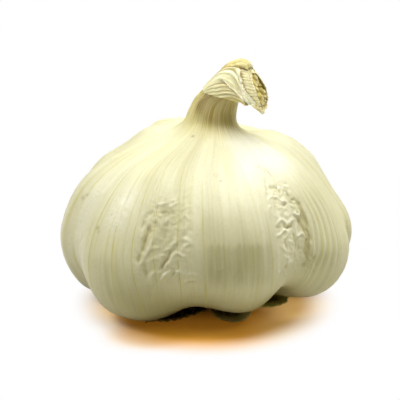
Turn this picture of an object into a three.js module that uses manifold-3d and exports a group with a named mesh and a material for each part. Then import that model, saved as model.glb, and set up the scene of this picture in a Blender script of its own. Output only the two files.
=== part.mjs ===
// A dry garlic bulb that rests on its root plate, with its leafy neck bent over.
//
// Millimetres, +Z up. The origin is the middle of the root plate's flat underside.
// Azimuths are in degrees about +Z: 0 faces -Y, the front, and they grow towards +X.
//
// The bulb's skin is one body. It is swept from meridians, one for each azimuth, that
// start under the bulb, pass over a clove or a valley and end inside the bent neck.
// Dry leaf sheaths lie round the neck's end like the layers of a rolled paper bag.

import * as THREE from 'three';
import { mergeVertices } from 'three/addons/utils/BufferGeometryUtils.js';
import Module from 'manifold-3d';

const wasm = await Module();
wasm.setup();

const { degToRad, euclideanModulo, lerp, smoothstep } = THREE.MathUtils;

// ---- Driving dimensions ----

const GAP = 0.3; // clear space kept between neighbouring pieces

const PLATE_RADIUS = 7.2;
const PLATE_HEIGHT = 2.2;
const ROOT_RADIUS = 0.35;
const ROOT_CLEARANCE = 0.1; // from the underside of a root to the ground

const NECK_BEND_AZIMUTH = 55; // the way the neck leans
const NECK_OFFSET = 1.7; // the neck stands this far to the right of the root plate
const SHEATH_THICKNESS = 0.35;
const SHEATH_PITCH = SHEATH_THICKNESS + GAP;
const SHEATH_COUNT = 3;
const CORE_INSET = SHEATH_COUNT * SHEATH_PITCH; // solid neck, below the sheaths

const BASE_SKIN_THICKNESS = 0.4;

const VALLEY_SHARPNESS = 1.6; // above 1, crests are broad and valleys narrow
const BLEND_START = 0.3; // share of the way to a valley where two cloves start to mix

// The eight cloves under the skin, in order round the bulb. Each reaches from one
// valley to the next. reach scales its radius; sag fattens it low down and thins its
// shoulder; lift raises its foot off the ground and crown raises its shoulder, in mm.
const CLOVES = [
  { from: -70, crest: -43, to: -5.5, reach: 1, sag: 0.035, lift: 0, crown: 0 },
  { from: -5.5, crest: 20, to: 39.5, reach: 1, sag: 0, lift: 2.9, crown: 0 },
  { from: 39.5, crest: 66, to: 86, reach: 1, sag: 0.06, lift: 3, crown: -0.2 },
  { from: 86, crest: 106, to: 126, reach: 1.01, sag: 0.055, lift: 2, crown: 1.4 },
  { from: 126, crest: 147, to: 168, reach: 0.98, sag: 0.02, lift: 1, crown: 0.9 },
  { from: 168, crest: 208, to: 228, reach: 0.99, sag: 0, lift: 0.8, crown: 2.3 },
  { from: 228, crest: 244, to: 258, reach: 1, sag: 0, lift: 0.4, crown: 0.3 },
  { from: 258, crest: 274, to: 290, reach: 1, sag: 0.02, lift: 0.6, crown: -0.4 },
];
const FIRST_VALLEY = CLOVES[0].from;

// Rows of the skin from the root plate's edge up to the foot of the neck, each as
// [radius, height] on a clove's crest and in a valley. The other numbers say how much
// of a clove's reach, sag, lift and crown acts on the row, and how far the row's
// middle has moved towards the neck.
const SKIN_ROWS = [
  { crest: [6.8, 2.6], valley: [6.8, 2.6], reach: 0, sag: 0, lift: 0.2, crown: 0, shift: 0 },
  { crest: [10.5, 1.6], valley: [10.3, 2.7], reach: 0.1, sag: 0, lift: 0.6, crown: 0, shift: 0 },
  { crest: [15.5, 0.5], valley: [14.8, 2.6], reach: 0.4, sag: 0.4, lift: 1, crown: 0, shift: 0 },
  { crest: [21, 0.15], valley: [19.6, 2.8], reach: 0.8, sag: 0.9, lift: 1, crown: 0, shift: 0 },
  { crest: [26.6, 2.4], valley: [24.6, 5], reach: 1, sag: 1.2, lift: 0.9, crown: 0, shift: 0 },
  { crest: [30.5, 8], valley: [28.2, 10], reach: 1, sag: 0.9, lift: 0.55, crown: 0, shift: 0 },
  { crest: [31.8, 14.5], valley: [29.6, 15.6], reach: 1, sag: 0.4, lift: 0.25, crown: 0, shift: 0 },
  { crest: [30.5, 21], valley: [28.9, 21.2], reach: 1, sag: -0.4, lift: 0.1, crown: 0.1, shift: 0 },
  { crest: [26.9, 27], valley: [25.9, 26.7], reach: 1, sag: -0.6, lift: 0, crown: 0.4, shift: 0.1 },
  { crest: [21.6, 31.8], valley: [21, 31.2], reach: 0.8, sag: -0.3, lift: 0, crown: 0.9, shift: 0.35 },
  { crest: [15.8, 35], valley: [15.4, 34.6], reach: 0.5, sag: 0, lift: 0, crown: 1, shift: 0.8 },
  { crest: [11.3, 36.9], valley: [11.1, 36.7], reach: 0.2, sag: 0, lift: 0, crown: 0.5, shift: 1.2 },
  { crest: [8.5, 38.3], valley: [8.4, 38.2], reach: 0, sag: 0, lift: 0, crown: 0.1, shift: 1.5 },
];

// Rings of the neck from its foot to its mouth. Each is an ellipse between a point on
// the outside of the bend and one on the inside, given as [distance from the neck's
// axis towards the lean, height], and it is halfWidth wide across the bend.
const NECK_RINGS = [
  { outside: [-6.3, 40.1], inside: [6, 40], halfWidth: 6.2 },
  { outside: [-5.3, 42.4], inside: [5.2, 42], halfWidth: 5.3 },
  { outside: [-4, 45], inside: [5.3, 43.6], halfWidth: 5 },
  { outside: [-1.6, 47.9], inside: [5.6, 44.6], halfWidth: 4.5 },
  { outside: [1.2, 50.6], inside: [6.2, 45.2], halfWidth: 4.1 },
  { outside: [3.8, 52.7], inside: [7.2, 45.4], halfWidth: 3.8 },
  { outside: [6.4, 53.9], inside: [8.8, 45], halfWidth: 3.5 },
  { outside: [8.6, 53.4], inside: [11, 43.9], halfWidth: 3.2 },
  { outside: [10.2, 52.2], inside: [12.9, 43], halfWidth: 2.9 },
  { outside: [11.6, 50.9], inside: [14.6, 42], halfWidth: 2.7 },
];
const MOUTH = NECK_RINGS.length - 1;

// ---- The skin over the cloves ----

function direction(azimuth) {
  const angle = degToRad(azimuth);
  return new THREE.Vector3(Math.sin(angle), -Math.cos(angle), 0);
}

// What the cloves make of the skin at one azimuth: valley runs from 0 on a crest to 1
// in a valley, and each other value passes smoothly from one clove to the next.
function skinAt(azimuth) {
  const wrapped = FIRST_VALLEY + euclideanModulo(azimuth - FIRST_VALLEY, 360);
  const index = CLOVES.findIndex((clove) => wrapped < clove.to);
  const clove = CLOVES[index];
  const right = wrapped > clove.crest;
  const edge = right ? clove.to : clove.from;
  const across = (wrapped - clove.crest) / (edge - clove.crest);
  const step = right ? 1 : CLOVES.length - 1;
  const neighbour = CLOVES[(index + step) % CLOVES.length];
  const share = smoothstep(across, BLEND_START, 1) / 2;
  const valley = (0.5 - 0.5 * Math.cos(Math.PI * across)) ** VALLEY_SHARPNESS;
  return {
    valley,
    reach: lerp(clove.reach, neighbour.reach, share),
    sag: lerp(clove.sag, neighbour.sag, share),
    lift: lerp(clove.lift, neighbour.lift, share),
    crown: lerp(clove.crown, neighbour.crown, share),
  };
}

function skinPoint(row, azimuth) {
  const skin = skinAt(azimuth);
  const scale = 1 + (skin.reach - 1) * row.reach + skin.sag * row.sag;
  const radius = lerp(row.crest[0], row.valley[0], skin.valley) * scale;
  const height = lerp(row.crest[1], row.valley[1], skin.valley);
  const raised = height + skin.lift * row.lift + skin.crown * row.crown;
  return direction(azimuth).multiplyScalar(radius).add(new THREE.Vector3(row.shift, 0, raised));
}

// ---- The bent neck ----

const LEAN = direction(NECK_BEND_AZIMUTH);
const ACROSS = direction(NECK_BEND_AZIMUTH + 90);

function leanPoint([distance, height]) {
  return LEAN.clone().multiplyScalar(distance).add(new THREE.Vector3(NECK_OFFSET, 0, height));
}

// A point on one ring of the neck, inset below the neck's outermost layer.
function ringPoint(ring, azimuth, inset) {
  const outside = leanPoint(ring.outside);
  const inside = leanPoint(ring.inside);
  const centre = outside.clone().add(inside).multiplyScalar(0.5);
  const half = inside.clone().sub(centre);
  const angle = degToRad(azimuth - NECK_BEND_AZIMUTH);
  const shrink = 1 - inset / half.length();
  return centre
    .addScaledVector(half, Math.cos(angle) * shrink)
    .addScaledVector(ACROSS, Math.sin(angle) * (ring.halfWidth - inset));
}

// The same anywhere along the neck: along counts in rings from the foot.
function neckPoint(along, azimuth, inset) {
  const points = NECK_RINGS.map((ring) => ringPoint(ring, azimuth, inset));
  const curve = new THREE.CatmullRomCurve3(points, false, 'catmullrom', 0.5);
  return curve.getPoint(along / MOUTH);
}

function neckCentre(along) {
  return neckPoint(along, 0, 0).add(neckPoint(along, 180, 0)).multiplyScalar(0.5);
}

// ---- Closed bodies bent from plain geometry ----

// Moves every vertex to place(turn, along, depth) and welds what then coincides.
function bend(geometry, coordinates, place) {
  const { position, uv } = geometry.attributes;
  const vertex = new THREE.Vector3();
  for (let i = 0; i < position.count; i += 1) {
    vertex.fromBufferAttribute(position, i);
    const [turn, along, depth] = coordinates(vertex, uv.getX(i));
    const placed = place(turn, along, depth);
    position.setXYZ(i, placed.x, placed.y, placed.z);
  }
  geometry.deleteAttribute('normal');
  geometry.deleteAttribute('uv');
  return mergeVertices(geometry, 1e-4);
}

// A solid turned about its own axis: place(turn, along), both from 0 to 1, and depth
// is 0 on the axis.
function turned(columns, rows, place) {
  const profile = [new THREE.Vector2(0, 0)];
  for (let row = 0; row <= rows; row += 1) {
    profile.push(new THREE.Vector2(1, row / rows));
  }
  profile.push(new THREE.Vector2(0, 1));
  const geometry = new THREE.LatheGeometry(profile, columns);
  const coordinates = (vertex, turn) => [turn % 1, vertex.y, Math.hypot(vertex.x, vertex.z)];
  return bend(geometry, coordinates, place);
}

// A sleeve open at both ends: depth is 0 on its outside and 1 on its inside.
function sleeve(columns, rows, place) {
  const profile = [];
  for (let row = 0; row <= rows; row += 1) {
    profile.push(new THREE.Vector2(2, row / rows));
  }
  for (let row = rows; row >= 0; row -= 1) {
    profile.push(new THREE.Vector2(1, row / rows));
  }
  profile.push(profile[0]);
  const geometry = new THREE.LatheGeometry(profile, columns);
  const coordinates = (vertex, turn) => [turn % 1, vertex.y, 2 - Math.hypot(vertex.x, vertex.z)];
  return bend(geometry, coordinates, place);
}

// A leaf-like flap: depth is 0 on its outer face and 1 on its inner face.
function flap(columns, rows, place) {
  const geometry = new THREE.BoxGeometry(1, 1, 1, columns, rows, 1);
  const coordinates = (vertex) => [vertex.x + 0.5, vertex.y + 0.5, 0.5 - vertex.z];
  return bend(geometry, coordinates, place);
}

function toSolid(geometry) {
  const bare = geometry.clone();
  bare.deleteAttribute('normal');
  bare.deleteAttribute('uv');
  const merged = mergeVertices(bare, 1e-4);
  const vertProperties = new Float32Array(merged.attributes.position.array);
  const triVerts = new Uint32Array(merged.index.array);
  return new wasm.Manifold(new wasm.Mesh({ numProp: 3, vertProperties, triVerts }));
}

function fromSolid(solid) {
  const mesh = solid.getMesh();
  const geometry = new THREE.BufferGeometry();
  geometry.setAttribute('position', new THREE.BufferAttribute(mesh.vertProperties, 3));
  geometry.setIndex(new THREE.BufferAttribute(mesh.triVerts, 1));
  return geometry;
}

// ---- The pieces ----

const group = new THREE.Group();

function addPiece(name, geometry, color, roughness) {
  const material = new THREE.MeshStandardMaterial({ color, roughness, metalness: 0 });
  geometry.computeVertexNormals();
  const mesh = new THREE.Mesh(geometry, material);
  mesh.name = name;
  group.add(mesh);
}

// Skin, cloves and solid neck, grown as one. Where the sheaths begin, the neck steps
// in under them, and it ends part of the way to the mouth.
function bulbGeometry() {
  const columns = 56;
  const rows = 40;
  const neckSteps = [
    { along: 0, inset: 0 },
    { along: 1, inset: 0 },
    { along: 2, inset: 0 },
    { along: 2.75, inset: 0 },
    { along: 2.95, inset: CORE_INSET },
    { along: 3.6, inset: CORE_INSET },
    { along: 4.4, inset: CORE_INSET },
    { along: 5.2, inset: CORE_INSET },
  ];
  const underside = new THREE.Vector3(0, 0, PLATE_HEIGHT + GAP);
  const coreEnd = neckCentre(5.4);
  return turned(columns, rows, (turn, along, depth) => {
    if (depth < 0.5) {
      return along < 0.5 ? underside : coreEnd;
    }
    const azimuth = 360 * turn;
    const skin = SKIN_ROWS.map((row) => skinPoint(row, azimuth));
    const neck = neckSteps.map((step) => neckPoint(step.along, azimuth, step.inset));
    const meridian = new THREE.CatmullRomCurve3([...skin, ...neck], false, 'catmullrom', 0.5);
    return meridian.getPoint(along);
  });
}

// One layer of dry leaf round the neck. layer counts inwards from the outermost, and
// the sleeve runs from its torn hem to its torn mouth.
function sheathGeometry({ layer, hem, mouth, tear, columns, rows }) {
  return sleeve(columns, rows, (turn, along, depth) => {
    const azimuth = 360 * turn;
    const angle = degToRad(azimuth);
    const ragged = tear * (Math.sin(3 * angle + layer) + 0.6 * Math.sin(7 * angle + 2 * layer));
    const inset = layer * SHEATH_PITCH + depth * SHEATH_THICKNESS;
    return neckPoint(lerp(hem, mouth + ragged, along), azimuth, inset);
  });
}

// The dry heart of the neck, a flat twist that fills the innermost sheath's mouth.
function heartLeafGeometry() {
  const start = 5.8;
  const end = MOUTH;
  return turned(20, 6, (turn, along, depth) => {
    const at = lerp(start, end, along);
    if (depth < 0.5) {
      return neckCentre(at);
    }
    const narrowing = 0.5 * along;
    return neckPoint(at, 360 * turn, CORE_INSET + narrowing);
  });
}

// A crumpled scrap of skin that lies over the top of the bend.
function topScrapGeometry() {
  const turnFrom = 212;
  const turnTo = 272;
  return flap(12, 8, (turn, along, depth) => {
    const azimuth = lerp(turnFrom, turnTo, turn);
    const crumple = 0.15 * (1 + Math.sin(19 * turn + 5 * along) * Math.sin(11 * along));
    const inset = -GAP - crumple - (1 - depth) * SHEATH_THICKNESS;
    return neckPoint(lerp(4.2, 6.5, along), azimuth, inset);
  });
}

// A root stub leaves the plate's rim, droops and ends cut or snapped short.
function rootSolid(azimuth, reach) {
  const low = ROOT_CLEARANCE + ROOT_RADIUS;
  const outward = direction(azimuth);
  const station = (radius, height) => outward.clone().multiplyScalar(radius).setZ(height);
  const path = new THREE.CatmullRomCurve3([
    station(PLATE_RADIUS - 1.2, 1.1),
    station(lerp(PLATE_RADIUS, reach, 0.4), 0.8),
    station(reach, low),
  ]);
  const section = new THREE.Shape(
    [0, 1, 2, 3, 4, 5].map((corner) => {
      const angle = (corner * Math.PI) / 3;
      return new THREE.Vector2(Math.cos(angle), Math.sin(angle)).multiplyScalar(ROOT_RADIUS);
    }),
  );
  return toSolid(new THREE.ExtrudeGeometry(section, { steps: 4, extrudePath: path }));
}

// The woody plate under the bulb, flat where it was trimmed, with its root stubs.
function rootPlateGeometry() {
  const profile = [
    new THREE.Vector2(0, 0),
    new THREE.Vector2(PLATE_RADIUS, 0),
    new THREE.Vector2(PLATE_RADIUS, PLATE_HEIGHT * 0.55),
    new THREE.Vector2(PLATE_RADIUS - 0.8, PLATE_HEIGHT),
    new THREE.Vector2(0, PLATE_HEIGHT),
  ];
  const plate = new THREE.LatheGeometry(profile, 32);
  plate.rotateX(Math.PI / 2);
  const rootCount = 15;
  let solid = toSolid(plate);
  for (let root = 0; root < rootCount; root += 1) {
    const azimuth = (360 * root) / rootCount + 5 * Math.sin(2.3 * root);
    const reach = 9.9 + 0.6 * Math.sin(1.7 * root);
    solid = solid.add(rootSolid(azimuth, reach));
  }
  return fromSolid(solid);
}

// A torn piece of old skin under the cloves. It reaches out from the root plate
// between two azimuths; rim gives its outer radius, and rise its height, at turn.
function baseSkinGeometry({ from, to, inner, rim, rise, columns }) {
  return flap(columns, 4, (turn, along, depth) => {
    const radius = lerp(inner, rim(turn), along);
    const top = rise(turn, along) + BASE_SKIN_THICKNESS;
    const height = top - (1 - depth) * BASE_SKIN_THICKNESS;
    return direction(lerp(from, to, turn)).multiplyScalar(radius).setZ(height);
  });
}

addPiece('bulb', bulbGeometry(), '#e8e4c8', 0.55);
addPiece(
  'outer_sheath',
  sheathGeometry({ layer: 0, hem: 3.1, mouth: 7.5, tear: 0.2, columns: 40, rows: 10 }),
  '#f0ecce',
  0.6,
);
addPiece(
  'middle_sheath',
  sheathGeometry({ layer: 1, hem: 3.5, mouth: 8.3, tear: 0.12, columns: 32, rows: 10 }),
  '#d9d3a6',
  0.65,
);
addPiece(
  'inner_sheath',
  sheathGeometry({ layer: 2, hem: 4, mouth: 8.8, tear: 0.1, columns: 28, rows: 9 }),
  '#b3974a',
  0.7,
);
addPiece('heart_leaf', heartLeafGeometry(), '#8a6a2a', 0.75);
addPiece('top_scrap', topScrapGeometry(), '#cfc48f', 0.7);
addPiece('root_plate', rootPlateGeometry(), '#6b5630', 0.9);
addPiece(
  'base_skin_front',
  baseSkinGeometry({
    from: -22,
    to: 0,
    inner: 11.8,
    rim: (turn) => 20.5 + 0.7 * Math.sin(9 * turn),
    rise: (turn, along) => 0.1 + 0.5 * along * turn,
    columns: 10,
  }),
  '#4a4020',
  0.85,
);
addPiece(
  'base_skin_middle',
  baseSkinGeometry({
    from: 3,
    to: 31,
    inner: 11.8,
    rim: (turn) => 19.3 + 2 * Math.sin(Math.PI * turn),
    rise: (turn, along) => 0.15 + 1.3 * along * (2 * turn - 1) ** 2,
    columns: 12,
  }),
  '#8f8a62',
  0.7,
);
addPiece(
  'base_skin_right',
  baseSkinGeometry({
    from: 35,
    to: 57,
    inner: 12.5,
    rim: (turn) => 21.5 + 1.2 * Math.sin(Math.PI * turn),
    rise: (turn, along) => 0.8 + 1.4 * along - 0.5 * Math.sin(Math.PI * turn) * along,
    columns: 10,
  }),
  '#8a8440',
  0.75,
);

export default group;
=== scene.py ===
"""A dry garlic bulb with a bent leafy neck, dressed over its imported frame.

Shapes are worked out in millimetres and turned into metres when a piece is made.
Azimuths are in degrees about +Z: 0 faces -Y, the front, and they grow towards +X.
"""
import math

import bpy
import numpy as np
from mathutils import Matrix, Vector, noise


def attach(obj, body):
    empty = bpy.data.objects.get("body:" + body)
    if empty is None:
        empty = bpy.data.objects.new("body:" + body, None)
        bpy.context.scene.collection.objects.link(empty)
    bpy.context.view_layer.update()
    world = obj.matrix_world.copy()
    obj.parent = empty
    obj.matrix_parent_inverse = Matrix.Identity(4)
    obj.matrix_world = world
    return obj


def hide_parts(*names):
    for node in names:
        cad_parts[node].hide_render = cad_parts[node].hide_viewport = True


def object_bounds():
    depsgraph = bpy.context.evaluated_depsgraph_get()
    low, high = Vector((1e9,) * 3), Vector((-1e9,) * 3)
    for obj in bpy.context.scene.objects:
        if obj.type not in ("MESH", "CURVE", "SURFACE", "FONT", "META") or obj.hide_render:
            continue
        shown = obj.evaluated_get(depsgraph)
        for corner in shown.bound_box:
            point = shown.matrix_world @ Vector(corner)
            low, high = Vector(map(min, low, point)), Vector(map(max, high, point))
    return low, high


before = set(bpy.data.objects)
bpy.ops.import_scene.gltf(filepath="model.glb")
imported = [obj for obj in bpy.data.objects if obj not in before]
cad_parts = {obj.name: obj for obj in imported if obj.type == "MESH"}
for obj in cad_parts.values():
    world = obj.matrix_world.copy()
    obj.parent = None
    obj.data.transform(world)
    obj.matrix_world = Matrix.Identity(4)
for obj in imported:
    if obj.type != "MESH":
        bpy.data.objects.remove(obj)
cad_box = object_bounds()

MM = 0.001

# ---- Sizes shared with the frame ----

# The eight cloves in order round the bulb: from, crest and to azimuths, then reach,
# which scales the radius, sag, which fattens the foot, lift and crown, in mm.
CLOVES = np.array([
    (-70, -43, -5.5, 1.00, 0.035, 0.0, 0.0),
    (-5.5, 20, 39.5, 1.00, 0.0, 2.9, 0.0),
    (39.5, 66, 86, 1.00, 0.06, 3.0, -0.2),
    (86, 106, 126, 1.01, 0.055, 2.0, 1.4),
    (126, 147, 168, 0.98, 0.02, 1.0, 0.9),
    (168, 208, 228, 0.99, 0.0, 0.8, 2.3),
    (228, 244, 258, 1.00, 0.0, 0.4, 0.3),
    (258, 274, 290, 1.00, 0.02, 0.6, -0.4),
])
VALLEY_SHARPNESS = 1.6  # the higher, the narrower the valleys
BLEND_START = 0.3  # share of the way to a valley where a clove starts to be like the next

# Rows of the skin from the root plate to the foot of the neck: radius and height on a
# crest, radius and height in a valley, then how much of a clove's reach, sag, lift
# and crown acts there, and the row's shift towards the neck.
SKIN_ROWS = np.array([
    (6.8, 2.6, 6.8, 2.6, 0.0, 0.0, 0.2, 0.0, 0.0),
    (10.5, 1.6, 10.3, 2.7, 0.1, 0.0, 0.6, 0.0, 0.0),
    (15.5, 0.5, 14.8, 2.6, 0.4, 0.4, 1.0, 0.0, 0.0),
    (21.0, 0.15, 19.6, 2.8, 0.8, 0.9, 1.0, 0.0, 0.0),
    (26.6, 2.4, 24.6, 5.0, 1.0, 1.2, 0.9, 0.0, 0.0),
    (30.5, 8.0, 28.2, 10.0, 1.0, 0.9, 0.55, 0.0, 0.0),
    (31.8, 14.5, 29.6, 15.6, 1.0, 0.4, 0.25, 0.0, 0.0),
    (30.5, 21.0, 28.9, 21.2, 1.0, -0.4, 0.1, 0.1, 0.0),
    (26.9, 27.0, 25.9, 26.7, 1.0, -0.6, 0.0, 0.4, 0.1),
    (21.6, 31.8, 21.0, 31.2, 0.8, -0.3, 0.0, 0.9, 0.35),
    (15.8, 35.0, 15.4, 34.6, 0.5, 0.0, 0.0, 1.0, 0.8),
    (11.3, 36.9, 11.1, 36.7, 0.2, 0.0, 0.0, 0.5, 1.2),
    (8.5, 38.3, 8.4, 38.2, 0.0, 0.0, 0.0, 0.1, 1.5),
])

# Rings of the neck from its foot to past its mouth: a point on the outside of the
# bend and one on the inside, as distance along the lean and height, and half width.
NECK_RINGS = np.array([
    (-6.3, 40.1, 6.0, 40.0, 6.2),
    (-5.3, 42.4, 5.2, 42.0, 5.3),
    (-4.0, 45.0, 5.3, 43.6, 5.0),
    (-1.6, 47.9, 5.6, 44.6, 4.5),
    (1.2, 50.6, 6.2, 45.2, 4.1),
    (3.8, 52.7, 7.2, 45.4, 3.8),
    (6.4, 53.9, 8.8, 45.0, 3.5),
    (8.6, 53.4, 11.0, 43.9, 3.2),
    (10.2, 52.2, 12.9, 43.0, 2.9),
    (11.6, 50.9, 14.6, 42.0, 2.7),
    (12.7, 49.5, 15.4, 40.9, 2.3),
])
NECK_BEND_AZIMUTH = 55.0  # the neck leans this way
NECK_OFFSET = 1.7  # mm from the bulb's axis to the middle of the neck's foot
FOOT_OF_NECK = len(SKIN_ROWS)  # station of the first neck ring on a meridian
PLATE_RADIUS = 7.2
PLATE_HEIGHT = 2.2
CORE_INSET = 1.95  # the solid neck lies this far inside the neck rings, in mm
HEM_INSET = 0.22  # and this far inside them just below the hem of the sheaths


# ---- Small sums used all over ----

def smoothstep(value, start, end):
    """0 before start, 1 after end and a smooth rise between them."""
    share = np.clip((value - start) / (end - start), 0.0, 1.0)
    return share * share * (3.0 - 2.0 * share)


def hump(value, start, rise, fall, end):
    """0 outside start to end, and 1 from rise to fall."""
    return smoothstep(value, start, rise) * (1.0 - smoothstep(value, fall, end))


def mixed(a, b, share):
    """a where share is 0, b where it is 1, and in proportion between."""
    return a + (b - a) * share


def rumple(points, size, seed):
    """Random heights of about -1 to 1 over points in mm, in bumps about size mm wide."""
    shift = Vector((seed * 17.3, seed * 7.9, seed * 3.7))
    flat = (np.asarray(points).reshape(-1, 3) / size).tolist()
    heights = [noise.noise(Vector(point) + shift, noise_basis="PERLIN_NEW") for point in flat]
    return np.array(heights).reshape(np.shape(points)[:-1])


def creased(points, size, seed):
    """Heights from 0 in folds to 1 on sharp creases, as crumpled paper has."""
    return 1.0 - np.abs(rumple(points, size, seed)) * 2.0


def heading(azimuth):
    """Directions over the ground at azimuths, of length 1."""
    angle = np.radians(azimuth)
    return np.stack([np.sin(angle), -np.cos(angle), np.zeros_like(angle)], -1)


LEAN = heading(np.array(NECK_BEND_AZIMUTH))
ACROSS = heading(np.array(NECK_BEND_AZIMUTH + 90.0))


def catmull(point_at, station, last):
    """Catmull-Rom through point_at(0) to point_at(last), each given an index array."""
    index = np.clip(np.floor(station).astype(int), 0, last - 1)
    part = (station - index)[..., None]
    here, there = point_at(index), point_at(index + 1)
    later = (index > 0)[..., None]
    before = np.where(later, point_at(np.maximum(index - 1, 0)), 2 * here - there)
    inside = (index + 2 <= last)[..., None]
    after = np.where(inside, point_at(np.minimum(index + 2, last)), 2 * there - here)
    return 0.5 * (
        2 * here
        + (there - before) * part
        + (2 * before - 5 * here + 4 * there - after) * part**2
        + (3 * here - before - 3 * there + after) * part**3
    )


# ---- The drawn skin and the bent neck as smooth surfaces ----

def clove_skin(azimuth):
    """Valley share, reach, sag, lift and crown of the skin at each azimuth."""
    first = CLOVES[0, 0]
    wrapped = first + np.mod(azimuth - first, 360.0)
    index = np.searchsorted(CLOVES[:, 2], wrapped, side="right")
    index = np.minimum(index, len(CLOVES) - 1)
    clove = CLOVES[index]
    right = wrapped > clove[..., 1]
    edge = np.where(right, clove[..., 2], clove[..., 0])
    across = (wrapped - clove[..., 1]) / (edge - clove[..., 1])
    neighbour = CLOVES[(index + np.where(right, 1, -1)) % len(CLOVES)]
    share = smoothstep(across, BLEND_START, 1.0) / 2
    valley = (0.5 - 0.5 * np.cos(np.pi * across)) ** VALLEY_SHARPNESS
    traits = mixed(clove[..., 3:7], neighbour[..., 3:7], share[..., None])
    return valley, traits[..., 0], traits[..., 1], traits[..., 2], traits[..., 3]


def skin_row_point(row, azimuth):
    """Points of the skin's rows over the cloves, at azimuths."""
    valley, reach, sag, lift, crown = clove_skin(azimuth)
    line = SKIN_ROWS[row]
    scale = 1 + (reach - 1) * line[..., 4] + sag * line[..., 5]
    radius = mixed(line[..., 0], line[..., 2], valley) * scale
    height = mixed(line[..., 1], line[..., 3], valley) + lift * line[..., 6] + crown * line[..., 7]
    point = heading(azimuth) * radius[..., None]
    point[..., 0] += line[..., 8]
    point[..., 2] = height
    return point


def neck_parts(ring):
    """Centre, half axis towards the inside of the bend and half width of neck rings."""
    line = NECK_RINGS[ring]
    foot = np.array([NECK_OFFSET, 0.0, 0.0])
    up = np.array([0.0, 0.0, 1.0])
    outside = foot + line[..., 0:1] * LEAN + line[..., 1:2] * up
    inside = foot + line[..., 2:3] * LEAN + line[..., 3:4] * up
    return (outside + inside) / 2, (inside - outside) / 2, line[..., 4:5]


def neck_ring_point(ring, turn, inset):
    """Points of the neck's rings, or inset mm inside them."""
    centre, half, width = neck_parts(ring)
    angle = np.radians(turn)[..., None]
    inset = np.broadcast_to(inset, np.shape(turn))[..., None]
    shrink = 1 - inset / np.linalg.norm(half, axis=-1, keepdims=True)
    return centre + half * np.cos(angle) * shrink + ACROSS * np.sin(angle) * (width - inset)


def neck_point(along, turn, inset=0.0):
    """The neck at along rings from its foot. turn is 0 inside the bend, 180 outside."""
    along, turn = np.broadcast_arrays(np.asarray(along, float), np.asarray(turn, float))
    last = len(NECK_RINGS) - 1
    return catmull(lambda ring: neck_ring_point(ring, turn, inset), along, last)


def skin_point(station, azimuth, inset=0.0):
    """The whole skin: station counts rows from the root plate, then neck rings."""
    station, azimuth = np.broadcast_arrays(np.asarray(station, float), np.asarray(azimuth, float))
    last = FOOT_OF_NECK + len(NECK_RINGS) - 1

    def at(index):
        body = skin_row_point(np.minimum(index, FOOT_OF_NECK - 1), azimuth)
        ring = np.maximum(index - FOOT_OF_NECK, 0)
        neck = neck_ring_point(ring, azimuth - NECK_BEND_AZIMUTH, inset)
        return np.where((index < FOOT_OF_NECK)[..., None], body, neck)

    return catmull(at, station, last)


def grid_normals(points, closed):
    """Outward directions of a grid [round, along] of points."""
    if closed:
        across = np.roll(points, -1, 0) - np.roll(points, 1, 0)
    else:
        across = np.gradient(points, axis=0)
    normal = np.cross(across, np.gradient(points, axis=1))
    return normal / np.maximum(np.linalg.norm(normal, axis=-1, keepdims=True), 1e-9)


# ---- Meshes ----

# Bake coordinates. Columns start at BAKE_START and span BAKE_SPAN of the map's width.
# Up the map, the front of a sheet, its mouth, its back and its hem have a band each,
# and its two side edges stand in narrow bands at the right. A tube has one band.
BAKE_START = 0.01
BAKE_SPAN = 0.95
FRONT_BAND = (0.02, 0.48)
MOUTH_BAND = (0.485, 0.515)
BACK_BAND = (0.52, 0.94)
HEM_BAND = (0.95, 0.96)
SIDE_BANDS = ((0.97, 0.975), (0.98, 0.985))
SIDE_START = 0.02
SIDE_SPAN = 0.46
TUBE_BAND = (0.02, 0.97)
TIP_CORNERS = [[0.985, 0.985], [0.99, 0.985], [0.99, 0.99]]


def column_shares(columns, closed):
    """Where quads start and end across the bake map, for each step between columns."""
    count = columns if closed else columns - 1
    i = np.arange(count)
    return [BAKE_START + BAKE_SPAN * (i + step) / count for step in (0, 1)]


def strip_uvs(starts, ends, low, high):
    """Bake coordinates of one row of quads between two heights."""
    lows, highs = np.full_like(starts, low), np.full_like(starts, high)
    corners = [(starts, lows), (ends, lows), (ends, highs), (starts, highs)]
    return np.stack([np.stack(corner, -1) for corner in corners], 1)


def grid_quads(columns, rows, closed, start=0):
    """Corners of the quads of a grid whose first point has the index start."""
    i = np.arange(columns if closed else columns - 1)[:, None]
    j = np.arange(rows - 1)[None, :]
    a = start + i * rows + j
    b = start + ((i + 1) % columns) * rows + j
    return np.stack([a, b, b + 1, a + 1], -1).reshape(-1, 4)


def grid_uvs(columns, rows, closed, low, high, flip=False):
    """Bake coordinates of each quad's corners, laid out flat between two heights."""
    sides = column_shares(columns, closed)
    j = np.arange(rows - 1)
    corners = []
    for side, step in ((0, 0), (1, 0), (1, 1), (0, 1)):
        share = (j + step) / (rows - 1)
        share = 1 - share if flip else share
        u, v = np.broadcast_arrays(sides[side][:, None], mixed(low, high, share)[None, :])
        corners.append(np.stack([u, v], -1))
    return np.stack(corners, 2).reshape(-1, 4, 2)


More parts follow.
